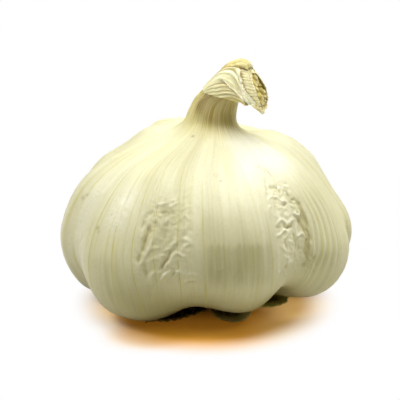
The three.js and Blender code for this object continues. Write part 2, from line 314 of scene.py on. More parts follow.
def make_mesh(name, points, quads, uvs, tips, attributes):
    """A mesh in metres from points in mm.

    tips are points, each with the ring of points that it closes. attributes are the
    numbers or vectors that the mesh carries for its finish, one for each point.
    """
    vertices = points.reshape(-1, 3) * MM
    faces = [tuple(quad) for quad in quads.tolist()]
    tip_points = []
    for number, (tip, ring) in enumerate(tips):
        tip_points.append(np.asarray(tip, float) * MM)
        index = len(vertices) + number
        following = ring[1:] + ring[:1]
        faces += [(a, b, index) for a, b in zip(ring, following)]
    if tip_points:
        vertices = np.concatenate([vertices, np.array(tip_points)])
    mesh = bpy.data.meshes.new(name)
    mesh.from_pydata(vertices.tolist(), [], faces)
    if uvs is not None:
        layer = mesh.uv_layers.new(name="OFBake")
        flat = uvs.reshape(-1, 2)
        spare = len(mesh.loops) - len(flat)
        corner = np.tile(TIP_CORNERS, (spare // 3, 1))
        layer.data.foreach_set("uv", np.concatenate([flat, corner]).ravel())
    for key, values in attributes.items():
        values = np.asarray(values, float)
        kind = "FLOAT_VECTOR" if values.ndim == 3 else "FLOAT"
        flat = values.reshape(-1, 3) if values.ndim == 3 else values.reshape(-1)
        filler = np.repeat(flat[-1:], len(vertices) - len(flat), axis=0)
        layer = mesh.attributes.new(key, kind, "POINT")
        field = "vector" if values.ndim == 3 else "value"
        layer.data.foreach_set(field, np.concatenate([flat, filler]).ravel())
    mesh.polygons.foreach_set("use_smooth", np.ones(len(mesh.polygons), bool))
    mesh.update()
    return mesh


def leaf_sheet(name, outer, inner, closed, attributes):
    """A closed thin sheet between two grids of points, with rims all round its edge."""
    columns, rows = outer.shape[:2]
    size = columns * rows
    front = grid_quads(columns, rows, closed)
    back = grid_quads(columns, rows, closed, size)[:, ::-1]
    quads = [front, back]
    back_uv = grid_uvs(columns, rows, closed, *BACK_BAND, flip=True)[:, ::-1]
    uvs = [grid_uvs(columns, rows, closed, *FRONT_BAND), back_uv]
    i = np.arange(columns if closed else columns - 1)
    following = (i + 1) % columns
    hem = np.stack([size + i * rows, size + following * rows, following * rows, i * rows], -1)
    mouth = hem[:, ::-1] + rows - 1
    quads += [hem, mouth]
    for low, high in (HEM_BAND, MOUTH_BAND):
        uvs.append(strip_uvs(*column_shares(columns, closed), low, high))
    if not closed:
        j = np.arange(rows - 1)
        starts, ends = [SIDE_START + SIDE_SPAN * (j + step) / (rows - 1) for step in (0, 1)]
        side = np.stack([j, j + 1, size + j + 1, size + j], -1)
        quads += [side[:, ::-1], side + (columns - 1) * rows]
        for low, high in SIDE_BANDS:
            uvs.append(strip_uvs(starts, ends, low, high)[..., ::-1])
    points = np.concatenate([outer.reshape(-1, 3), inner.reshape(-1, 3)])
    doubled = {}
    for key, values in attributes.items():
        values = np.asarray(values, float)
        if values.ndim == 2:
            values = np.broadcast_to(values, (columns, rows))
        doubled[key] = np.concatenate([values, values])
    return make_mesh(name, points, np.concatenate(quads), np.concatenate(uvs), (), doubled)


def tube_mesh(name, points, bottom, top, attributes, baked=True):
    """A tube from a grid [round, along] of points, closed by a point at each end."""
    columns, rows = points.shape[:2]
    first = list(range(0, columns * rows, rows))[::-1]
    last = list(range(rows - 1, columns * rows, rows))
    uvs = grid_uvs(columns, rows, True, *TUBE_BAND) if baked else None
    quads = grid_quads(columns, rows, True)
    return make_mesh(name, points, quads, uvs, [(bottom, first), (top, last)], attributes)


def merged(name, meshes):
    """One object from several meshes with the same layers."""
    objects = [bpy.data.objects.new(f"{name}_{i}", mesh) for i, mesh in enumerate(meshes)]
    for item in objects:
        bpy.context.scene.collection.objects.link(item)
    with bpy.context.temp_override(
        active_object=objects[0], selected_editable_objects=objects, selected_objects=objects
    ):
        bpy.ops.object.join()
    objects[0].name = name
    return objects[0]


def dress(piece, material, slot, *nodes):
    """Gives a piece its finish, its place on the frame and the nodes it stands for."""
    piece.data.materials.append(material)
    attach(piece, "root")
    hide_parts(*nodes)


def round_grid(turns, steps):
    """Degrees round the neck, one a row, and shares of the way along it, one a column."""
    turn = np.linspace(0, 360, turns, endpoint=False)[:, None]
    return turn, np.linspace(0, 1, steps)[None, :]


def strip_grid(lengths, widths):
    """Shares of the way along a strip, one a row, and across it, one a column."""
    return np.linspace(0, 1, lengths)[:, None], np.linspace(0, 1, widths)[None, :]


def new_piece(name, mesh):
    """A mesh as an object in the scene."""
    piece = bpy.data.objects.new(name, mesh)
    bpy.context.scene.collection.objects.link(piece)
    return piece


# ---- The skin over the cloves ----

# Main veins by azimuth at the bulb's widest, from -180 to 180, and how bold each is.
# Where a stretch is plain, veins are spread over it about VEIN_PITCH degrees apart.
FRONT_VEINS = [
    (-74, 0.8), (-69, 0.3), (-62.5, 0.4), (-56, 0.4), (-52, 0.9), (-49, 0.4), (-45.5, 0.4),
    (-43, 0.5), (-40, 1.0), (-37.3, 0.4), (-34.5, 0.5), (-30.8, 1.0), (-26.5, 0.3), (-22.3, 1.0),
    (-16.8, 0.25), (-12.2, 1.0), (-6.6, 0.35), (-1.4, 1.0), (3.4, 0.25), (7, 0.4), (15.7, 0.7),
    (18.2, 0.4), (20.2, 0.3), (22.4, 0.6), (26.5, 0.6), (30.5, 0.2), (40.2, 0.4), (50, 0.7),
    (53.2, 0.5), (56.6, 0.7), (60.2, 0.5), (64, 0.6), (68, 0.5), (73, 0.6), (78, 0.5),
]
VEIN_PITCH = 6.2

# Spacing of the mesh's columns, in degrees, from each azimuth on. A vein fades out over
# one column on each side, which is wider than a real one, so that it shows.
COLUMN_PITCH = [
    (-180, 1.5), (-66, 0.8), (-31, 0.42), (-4, 0.7), (28, 0.38), (51, 0.55), (69, 1.5),
]
# Rows of the mesh: from station, to station and how many.
ROW_SPANS = [
    (0, 3, 11), (3, 5.2, 20), (5.2, 9.4, 118), (9.4, 10.6, 22), (10.6, 13, 30), (13, 16.1, 34),
    (16.1, 18.2, 7),
]

SKIRT = 2.6  # how many half widths the side of a fold runs out

# Folds where the skin has sunk between cloves. Each is its height in mm, below 0 for
# a groove, its half width in mm, and points along it as azimuth and height.
FRONT_FOLDS = [
    # left of the front clove
    (-0.28, 0.60, [(-27.4, 25.8), (-27.5, 24.9), (-27.9, 24), (-28.1, 23)]),
    (0.22, 0.50, [(-25.3, 24.4), (-25.8, 23.6), (-26.3, 22.6), (-26.8, 21.8), (-27.4, 20.6)]),
    (-0.42, 0.70, [(-24.5, 24.6), (-24.8, 23.4), (-24.8, 22), (-25.3, 20.4), (-25.7, 19),
                   (-26.2, 17.9), (-26.9, 16.8)]),
    (0.36, 0.55, [(-22.4, 22.2), (-22.6, 21.2), (-22.9, 19.9), (-23.4, 19), (-24.1, 18),
                  (-24.6, 17.3), (-25.5, 16.5)]),
    (-0.14, 0.90, [(-23.6, 16.2), (-23.6, 15.2), (-23, 14), (-22.7, 13)]),
    (0.24, 0.45, [(-19.6, 15.2), (-21.1, 14.3), (-21.9, 13.6), (-22.4, 12.9)]),
    (-0.22, 1.0, [(-17.4, 24.6), (-17.6, 22.4), (-17.8, 20.6), (-18.4, 19.3)]),
    (-0.14, 0.8, [(-14.4, 24.6), (-14.8, 23.8)]),
    (0.22, 0.40, [(-19, 18.2), (-17, 18.5), (-15.3, 18.4)]),
    (0.28, 0.48, [(-17, 19.2), (-15.4, 19.7), (-14.4, 19.9), (-14.1, 20.6), (-13.3, 21.1),
                  (-11.8, 21)]),
    (-0.35, 0.62, [(-12.2, 20.3), (-13.3, 19.4), (-14.4, 18.9), (-14.7, 18.1), (-15.5, 17.4),
                   (-16.6, 16.7), (-17.6, 15.9), (-18.4, 15.3)]),
    (0.34, 0.50, [(-9.6, 18.6), (-10.9, 19.1), (-12.2, 19), (-13.2, 18.5), (-13.8, 18),
                  (-14.4, 17.3), (-15.3, 16.7), (-16.4, 16)]),
    (0.32, 0.40, [(-13.8, 15.3), (-15.3, 15.1), (-16.3, 14.6), (-17.2, 14), (-18.3, 13.2)]),
    (-0.24, 0.42, [(-12.3, 15.2), (-13.4, 14.4), (-14.2, 14)]),
    (0.30, 0.40, [(-10.2, 15.3), (-11.6, 15), (-12.2, 14.4), (-13.4, 13.7)]),
    (0.18, 0.35, [(-9.8, 14.9), (-8.3, 14.6)]),
    (0.22, 0.38, [(-8.2, 14.2), (-6.6, 14.8), (-5.3, 14.8), (-4, 14.5)]),
    (0.18, 0.32, [(-9, 13.3), (-7.6, 13.7), (-6, 13.7), (-4.8, 13.3)]),
    (-0.20, 0.32, [(-9.2, 12.8), (-7, 12.8), (-4.6, 12.9)]),
    (0.14, 0.30, [(-9, 12.2), (-7, 12.3), (-5, 12.3)]),
    (0.24, 0.48, [(-9.6, 21.9), (-7.8, 21.6), (-6.8, 21.3), (-5.8, 21)]),
    (0.20, 0.38, [(-8.9, 20.3), (-7.6, 20.8), (-5.9, 20.8)]),
    (-0.16, 0.50, [(-8.6, 22.9), (-8.2, 22.4)]),
    (0.26, 0.42, [(-18.4, 28.4), (-17, 28.7), (-15.4, 28.9)]),
    (0.26, 0.42, [(-18.4, 27.3), (-16.8, 27.7), (-15.4, 28.1), (-14.2, 28.5)]),
    (0.26, 0.50, [(-24, 27.8), (-22, 28), (-20, 28.3)]),
    (-0.22, 0.50, [(-22.2, 26.2), (-20.4, 26.3), (-18.6, 26.6)]),
    (0.18, 0.60, [(-17, 25.8), (-17.6, 25.3), (-18.2, 24.7)]),
    (0.16, 0.40, [(-22.4, 25.9), (-20.6, 25.8)]),
    (0.18, 0.42, [(-12.2, 26.9), (-10.6, 27.4)]),
    (0.22, 0.40, [(-27.3, 31.8), (-26.8, 30.8), (-26.2, 29.5), (-25.5, 28.4)]),
    (-0.16, 0.50, [(-28.4, 31.6), (-28, 30), (-27.6, 28.6)]),
    (0.10, 0.35, [(-11.6, 30.4), (-9.6, 31.1), (-8, 31.6)]),
    (0.10, 0.35, [(-10.6, 29.4), (-8.4, 30.4)]),
    # over the thin skin of the front clove
    (0.10, 0.35, [(5.2, 21.8), (6, 20.9), (6.8, 20.2)]),
    (0.12, 0.35, [(4.6, 15.8), (5.8, 16), (6.7, 16.9)]),
    (0.08, 0.40, [(10.2, 13.2), (12.2, 14.8), (13.2, 16.4), (14, 17.7)]),
    (0.08, 0.40, [(16, 20.7), (16.5, 18.8), (16.8, 15.7)]),
    (0.07, 0.40, [(23, 21.6), (22.5, 18.5), (22.8, 15.1)]),
    (0.08, 0.40, [(16.5, 24.2), (18, 23.2)]),
    # right of the front clove
    (-0.26, 0.45, [(40.2, 32.8), (38, 31.6), (35.6, 31), (33.6, 29.9), (32, 29.2), (30.3, 28.4)]),
    (-0.24, 0.45, [(40.4, 32.9), (42, 32.4), (42, 31.4), (41.4, 30.6), (40.6, 29.8)]),
    (-0.40, 0.50, [(39.6, 29.9), (40.6, 29.6), (41, 28.8), (41.2, 28)]),
    (-0.38, 0.50, [(43.8, 28.9), (45, 28.5), (45.2, 27.6), (46.4, 27.2), (48.4, 27), (48.8, 26)]),
    (0.34, 0.45, [(30.4, 28.4), (33, 28.6), (35, 28.5), (37.6, 28.2), (39, 27.4), (40.4, 27.1),
                  (41.6, 27.1)]),
    (-0.34, 0.45, [(38.8, 26.7), (40, 26.6), (41.4, 26.8)]),
    (0.26, 0.40, [(31.6, 27.3), (30, 27), (28.9, 26.6), (28.9, 25.9)]),
    (0.22, 0.50, [(34.2, 26.3), (33.8, 25.6), (33.4, 24.8)]),
    (0.30, 0.40, [(42.8, 26.2), (44, 26.1), (45.8, 25.9)]),
    (0.44, 0.42, [(41.8, 24.8), (43, 24.8), (44.2, 24.5), (46.4, 24.2), (47.2, 24.6), (48.6, 25)]),
    (-0.36, 0.45, [(49.4, 25.4), (48.7, 24.4), (48.7, 22.6), (48.1, 21.4), (47.4, 20), (46.2, 18),
                   (45.7, 16.2)]),
    (0.32, 0.35, [(47.2, 24), (47, 23.2), (46.9, 22), (46.7, 21), (46.6, 20.2)]),
    (-0.30, 0.50, [(43.8, 24), (45.2, 22.8), (45.8, 21.6), (45.9, 20.8)]),
    (0.44, 0.42, [(31.4, 24), (32.6, 24.2), (34.2, 24.3), (35.4, 24.2), (36.4, 23.6), (37.2, 23.2),
                  (38.6, 23.2), (40.4, 23.7), (42, 23.8)]),
    (-0.20, 0.50, [(30.4, 23.3), (31.6, 23.3), (33, 23.3)]),
    (-0.42, 0.50, [(34.8, 22.9), (36.2, 22.7), (37.6, 22.5), (39.2, 22.6), (40.6, 22.8)]),
    (0.40, 0.42, [(29.6, 21.7), (31.3, 21.8), (33.2, 22.1), (35, 22.3), (36, 22.4)]),
    (0.28, 0.40, [(33.8, 20.8), (34.8, 20.8), (36.2, 21.1), (37, 21.6)]),
    (-0.32, 0.40, [(33.7, 20.5), (34.2, 19.6), (34.6, 18.8), (34.8, 18.3)]),
    (0.26, 0.45, [(30.8, 19.7), (32.2, 19), (33.3, 18.3), (34.2, 17.9)]),
    (0.30, 0.38, [(36.6, 19.9), (35.6, 19.3), (35.2, 18.4), (35, 17.5)]),
    (0.22, 0.38, [(36.4, 20), (37.8, 19.7), (38.6, 18.9)]),
    (0.28, 0.45, [(32.8, 17.2), (34, 17), (35, 16.4)]),
    (-0.62, 1.0, [(49, 26), (47.8, 24), (47, 22.4), (46.2, 20.3), (45.4, 17.8), (44.4, 15.2)]),
    (-0.44, 0.55, [(39.4, 21.6), (39.6, 20.6), (39.9, 19.6), (39.7, 18.4)]),
    (0.24, 0.45, [(41.7, 22.6), (41.5, 21.4), (41.1, 20.3)]),
    (0.38, 0.42, [(41, 20.3), (42.2, 20.6), (44.5, 20.8), (45.3, 20.2), (46.4, 19.5)]),
    (-0.26, 0.45, [(38.5, 17.5), (38.3, 16.9), (38.3, 16.2)]),
    (0.22, 0.42, [(33.8, 15.5), (35.2, 15.8), (36.6, 15.8), (38.2, 15.1)]),
    (-0.20, 0.45, [(33.4, 15.4), (33.6, 14.6)]),
    (0.14, 0.90, [(28.4, 19.5), (28.6, 17), (28.8, 14.5), (28.4, 12.6)]),
    (0.20, 0.35, [(32.2, 14.4), (33, 13.9), (33.6, 13.4)]),
    (0.18, 0.40, [(29, 14.6), (29.4, 14.1)]),
]

# The other sunk places: azimuth, height, spread of both, how many folds and how high.
SUNK_PLACES = [
    (-68, 19, 7, 7, 12, 0.14), (86, 18, 7, 8, 14, 0.22), (126, 17, 7, 8, 14, 0.2),
    (168, 20, 8, 8, 16, 0.24), (228, 17, 6, 7, 12, 0.2), (258, 19, 6, 7, 12, 0.16),
]

# Broad swellings: azimuth and station of the middle, spread of both, and rise in mm.
SWELLINGS = [
    (-108, 10.4, 16, 0.9, 1.1), (-140, 11.4, 20, 0.8, -0.5), (75, 12.6, 40, 1.1, -0.7),
    (-62, 10.0, 12, 1.2, -0.35), (92, 8.6, 12, 0.9, -0.7), (92, 6.6, 12, 0.7, 0.3),
    (-90, 8.0, 12, 0.8, 0.4), (-115, 9.2, 14, 0.6, -0.5), (-143, 9.3, 12, 0.5, 0.55),
    (-160, 10.6, 22, 0.9, -1.0), (125, 11.6, 28, 0.9, -0.9), (110, 12.8, 28, 1.0, -1.2),
    (140, 10.6, 22, 0.9, -1.3), (112, 9.9, 12, 0.5, -0.3), (102, 8.5, 10, 0.4, 0.5),
    (100, 7.35, 12, 0.55, -0.5), (100, 5.7, 12, 0.7, 0.3), (-88, 13.7, 24, 0.9, 0.3),
    (37, 3.5, 9, 0.9, -1.5),
]

# The darker streaked patch on the front clove: azimuths and how dark it is there.
PATCH_AZIMUTHS = [-1.0, 0.6, 1.4, 5.6, 6.4, 10.6, 11.4, 15.4, 16.2, 17.0, 21.8, 22.8, 24.8, 27.0]
PATCH_DEPTHS = [0.0, 0.45, 0.8, 0.85, 0.6, 0.75, 1.0, 0.95, 0.4, 0.85, 0.8, 0.35, 0.45, 0.0]

# Stains and specks on the skin: azimuth, height, radius and how dark, in degrees and mm.
SPOTS = [
    (-19.2, 26.6, 0.9, 0.5), (-15.5, 26.9, 0.5, 0.25), (-20.5, 28.5, 0.9, 0.2), (-22.4, 24.6, 0.4, 0.5),
    (-17.2, 23, 1.3, 0.2), (-75.4, 24.4, 0.5, 0.5), (-73.6, 25.2, 0.4, 0.5), (-50.3, 21.4, 0.45, 0.5),
    (-48.8, 20.8, 0.4, 0.3), (-74.5, 31.6, 0.2, 0.4), (-46.2, 28, 0.18, 0.4), (-47.3, 27, 0.16, 0.35),
    (-45.2, 24.6, 0.2, 0.45), (-46.4, 25.4, 0.16, 0.35), (7.5, 32.2, 0.2, 0.8), (-30.5, 38.5, 0.35, 0.6),
    (4.5, 33, 0.9, 0.08), (50.6, 24.4, 0.18, 0.4), (38, 29.4, 0.5, 0.25), (37, 33.4, 0.5, 0.3),
    (112, 24, 0.5, 0.5), (141, 18, 0.6, 0.4), (196, 27, 0.5, 0.5), (238, 20, 0.5, 0.4),
]
# Where the skin is chafed into a pale crinkled patch: azimuth, height and spread of both.
CHAFED = [(-42, 25.5, 6, 4.5), (-67, 22, 7, 8), (150, 20, 9, 8), (206, 22, 8, 9)]

# The hem of the outer sheath round the neck, as degrees round it and rings along it.
HEM_TURNS = [0, 45, 90, 135, 180, 215, 233, 242, 252, 270, 286, 300, 314, 330, 360]
HEM_ALONG = [4.6, 4.1, 3.4, 3.1, 2.95, 2.9, 2.9, 2.94, 3.06, 3.3, 3.53, 3.8, 4.1, 4.5, 4.6]


def hem_along(turn):
    """Rings along the neck at the hem of the outer sheath."""
    return np.interp(np.mod(turn, 360.0), HEM_TURNS, HEM_ALONG)


def vein_azimuths():
    """Every main vein and its boldness, in order of azimuth from -180."""
    random = np.random.default_rng(11)
    veins = list(FRONT_VEINS)
    azimuth = FRONT_VEINS[-1][0] + VEIN_PITCH
    while azimuth < FRONT_VEINS[0][0] + 360 - VEIN_PITCH / 2:
        wrapped = azimuth if azimuth < 180 else azimuth - 360
        veins.append((wrapped, random.uniform(0.35, 0.9)))
        azimuth += VEIN_PITCH * random.uniform(0.65, 1.3)
    return sorted(veins)


def column_azimuths(veins):
    """Azimuths of the mesh's columns, with one on every main vein."""
    starts = [start for start, _ in COLUMN_PITCH] + [180]
    columns = []
    for (start, pitch), end in zip(COLUMN_PITCH, starts[1:]):
        count = round((end - start) / pitch)
        columns += list(start + (end - start) * np.arange(count) / count)
    columns = np.array(columns)
    boldness = np.zeros(len(columns))
    for azimuth, bold in veins:
        nearest = int(np.argmin(np.abs(columns - azimuth)))
        columns[nearest] = azimuth
        boldness[nearest] = bold
    return columns, boldness


def skin_stations():
    """Stations of the mesh's rows, closest together where the skin can be seen."""
    stations = []
    for start, end, count in ROW_SPANS:
        stations += list(start + (end - start) * np.arange(count) / count)
    return np.array(stations + [ROW_SPANS[-1][1]])


# How far veins stray towards the neck and towards the base, as azimuth and degrees.
STRAY_ABOVE = [(-85, 0), (-62, -4), (-52, -2.5), (-45, -5), (-40, -4.5), (-30, -5), (-21, -9),
               (-12, -6), (-2, -3), (7, -1), (27, 0), (40, 1), (60, 0)]
STRAY_BELOW = [(-85, 0), (-62, 1), (-51, 2.5), (-40, 3), (-30, 4), (-21, 2.8), (-12, 1.8), (-2, 1.2),
               (16, 0), (40, 0), (47, -3), (54, -7), (60, -9), (66, -9), (75, -5), (90, 0)]


def sway(azimuth, station):
    """How far a vein strays from its own azimuth on its way up to the neck, in degrees."""
    angle = np.radians(azimuth)
    place = np.stack([5 * np.sin(angle), 5 * np.cos(angle), station * 0.5], -1)
    above = np.interp(azimuth, *zip(*STRAY_ABOVE)) * smoothstep(station, 7.4, 10.2)
    below = np.interp(azimuth, *zip(*STRAY_BELOW)) * (1 - smoothstep(station, 5.0, 7.6))
    return above + below + 0.7 * rumple(place, 0.8, 6)


def station_at(azimuth, height):
    """The station where the outside of the skin is at a height, in mm."""
    stations = np.linspace(3.2, 12.0, 180)
    heights = skin_point(stations, np.full_like(stations, azimuth))[:, 2]
    return float(np.interp(height, heights, stations))


def fold_relief(points, folds):
    """Heights that folds add at points of the skin: sharp lines with long sloping sides."""
    relief = np.zeros(points.shape[:-1])
    strayed = points + 0.22 * np.stack([rumple(points, 1.7, seed) for seed in (61, 62, 63)], -1)
    low = 1 - smoothstep(points[..., 2], 13.0, 20.0)
    uneven = (0.82 + 0.4 * rumple(points, 1.3, 64)) * (1 + 0.9 * low)
    for height, half_width, path in folds:
        line = np.array([skin_point(station_at(a, h), np.array(a)) for a, h in path])
        lengths = np.linalg.norm(np.diff(line, axis=0), axis=1)
        total = lengths.sum()
        middle = line.mean(0)
        near = np.linalg.norm(points - middle, axis=-1) < total / 2 + SKIRT * half_width + 1.5
        place = strayed[near]
        best = np.full(len(place), 1e9)
        share = np.zeros(len(place))
        walked = 0.0
        for start, end, length in zip(line, line[1:], lengths):
            along = np.clip((place - start) @ (end - start) / length**2, 0, 1)
            distance = np.linalg.norm(place - start - along[:, None] * (end - start), axis=1)
            closer = distance < best
            best = np.where(closer, distance, best)
            share = np.where(closer, (walked + along * length) / total, share)
            walked += length
        taper = np.sqrt(np.clip(np.sin(np.pi * (0.05 + 0.9 * share)), 0, 1))
        crest = np.clip(1 - best / half_width, 0, 1) ** 1.3
        skirt = np.clip(1 - best / (SKIRT * half_width), 0, 1) ** 2
        relief[near] += height * taper * (0.62 * crest + 0.38 * skirt) * uneven[near]
    return relief


def loose_folds():
    """Folds strewn over the other sunk places, leaning this way and that."""
    random = np.random.default_rng(5)
    folds = []
    for azimuth, height, wide, tall, count, strength in SUNK_PLACES:
        for _ in range(count):
            a = azimuth + random.uniform(-wide, wide)
            h = height + random.uniform(-tall, tall)
            lean = random.uniform(-1.0, 1.0)
            run = random.uniform(1.5, 4.5)
            path = []
            for step in (-1, -0.3, 0.4, 1):
                kink = random.uniform(-0.7, 0.7)
                path.append((a + (step * run * lean + kink) * 1.9, h + step * run * 0.8))
            size = random.uniform(0.4, 1.0) * strength * random.choice([1, 1, -1])
            folds.append((size, random.uniform(0.6, 1.1), path))
    return folds


def panels(columns, veins):
    """Which panel between two veins each column is in, and its share of the way across."""
    edges = np.array([azimuth for azimuth, _ in veins])
    edges = np.append(edges, edges[0] + 360)
    wrapped = edges[0] + np.mod(columns - edges[0], 360.0)
    index = np.clip(np.searchsorted(edges, wrapped, side="right") - 1, 0, len(edges) - 2)
    return index, (wrapped - edges[index]) / (edges[index + 1] - edges[index])


def darkened_skin(azimuth, height):
    """How much darker the skin is drawn, 0 to 1, streaked along the leaf: a streaked patch on the front
    clove, and painted shade beside it, on the left, round the right valley and at the foot of the neck.
    """
    place = np.stack([azimuth * 0.9, height * 0.07, 0 * height], -1)
    streak = rumple(place, 1.0, 7) + 0.7 * rumple(place * [2.2, 1, 1], 1.0, 17)
    bands = np.interp(azimuth, PATCH_AZIMUTHS, PATCH_DEPTHS)
    top = 21.6 + 0.6 * streak
    core = hump(height, 10.5, 14.5, top - 1.6, top) * bands
    haze = hump(height, 12.0, 18.0, 24.0, 33.0) * hump(azimuth, -5.0, 1.0, 14.0, 20.0)
    # From here on the darkening is painted shade: beside the left valley, over the left clove, beyond the
    # right valley, over the right of the front clove and at the foot of the neck.
    beside = hump(height, 16.0, 21.0, 26.5, 31.0) * hump(azimuth, -32, -25, -12, -7)
    left = hump(height, 3.0, 7.0, 38.0, 46.0) * hump(azimuth, -43, -33, -17, -8)
    left *= 0.46 - 0.36 * hump(height, 9.0, 13.0, 23.0, 28.0)
    beyond = hump(height, 11.0, 16.0, 26.0, 31.0) * hump(azimuth, 40, 45, 60, 74)
    right = hump(height, 14.0, 20.0, 27.0, 32.0) * hump(azimuth, 12, 18, 34, 42)
    darkened = 0.8 * core + 0.42 * haze + 0.35 * beside + 0.5 * beyond + 0.18 * right + left
    above = hump(height, 26.0, 30.0, 36.0, 40.0) * hump(azimuth, -22, -10, 2, 10)
    return np.clip(darkened * (0.88 + 0.4 * streak) + 0.22 * above, 0, 1)


def spotted(points, spots):
    """Small stains on the skin, 1 in the middle of each."""
    amount = np.zeros(points.shape[:-1])
    for azimuth, height, radius, strength in spots:
        middle = skin_point(station_at(azimuth, height), np.array(azimuth))
        away = np.linalg.norm(points - middle, axis=-1) / radius
        amount = np.maximum(amount, strength * np.exp(-away**2))
    return amount


def crumple_relief(points, azimuth, height):
    """Crumpled-paper facets where the skin has sunk between two cloves at the front."""
    facets = creased(points * [1, 1, 0.75], 2.2, 25) + 0.6 * creased(points, 1.1, 26) - 0.75
    left = hump(azimuth, -31, -25, -9, -4) * hump(height, 9.5, 12.5, 27.0, 32.0)
    right = hump(azimuth, 29, 33, 47, 50) * hump(height, 11, 14, 29, 34)
    fine = creased(points * [0.6, 0.6, 1.5], 1.5, 27) - 0.5
    chafed = np.zeros_like(height)
    wrapped = np.mod(azimuth + 90, 360) - 90
    for middle, level, wide, tall in CHAFED:
        chafed += np.exp(-((wrapped - middle) / wide) ** 4 - ((height - level) / tall) ** 4)
    return facets * (0.12 * left + 0.2 * right), chafed, 0.06 * chafed * fine


# How deep the neck is darkened below the hem of its sheath, as a painted shadow of the bend
# over brown staining, and the ring where that starts, each as degrees round the neck and value.
NECK_SHADE_DEPTH = [(222, 0.2), (238, 0.45), (250, 0.8), (262, 0.95), (275, 0.55), (285, 0.62),
               (300, 0.7), (320, 0.6), (350, 0.45), (390, 0.1)]
NECK_SHADE_FOOT = [(240, 1.7), (262, 0.9), (285, 0.2), (330, -0.3)]


def column_shade(along, turn):
    """How dark the neck's front is painted below the hem of the outer sheath: the bend's shadow over
    brown staining.
    """
    wrapped = np.mod(turn - 90, 360) + 90
    depth = np.interp(wrapped, *zip(*NECK_SHADE_DEPTH))
    foot = np.interp(wrapped, *zip(*NECK_SHADE_FOOT))
    return depth * smoothstep(along, foot - 0.9, foot + 0.9) * (1 - smoothstep(along, 4.4, 5.0))


def round_place(azimuth, radius, along):
    """Where patterns see the skin: unrolled on a cylinder, so that they have no seam."""
    angle = np.radians(azimuth)
    return np.stack([radius * np.sin(angle), -radius * np.cos(angle), along], -1)


RIB_COUNT = 108  # fine ribs in a whole turn


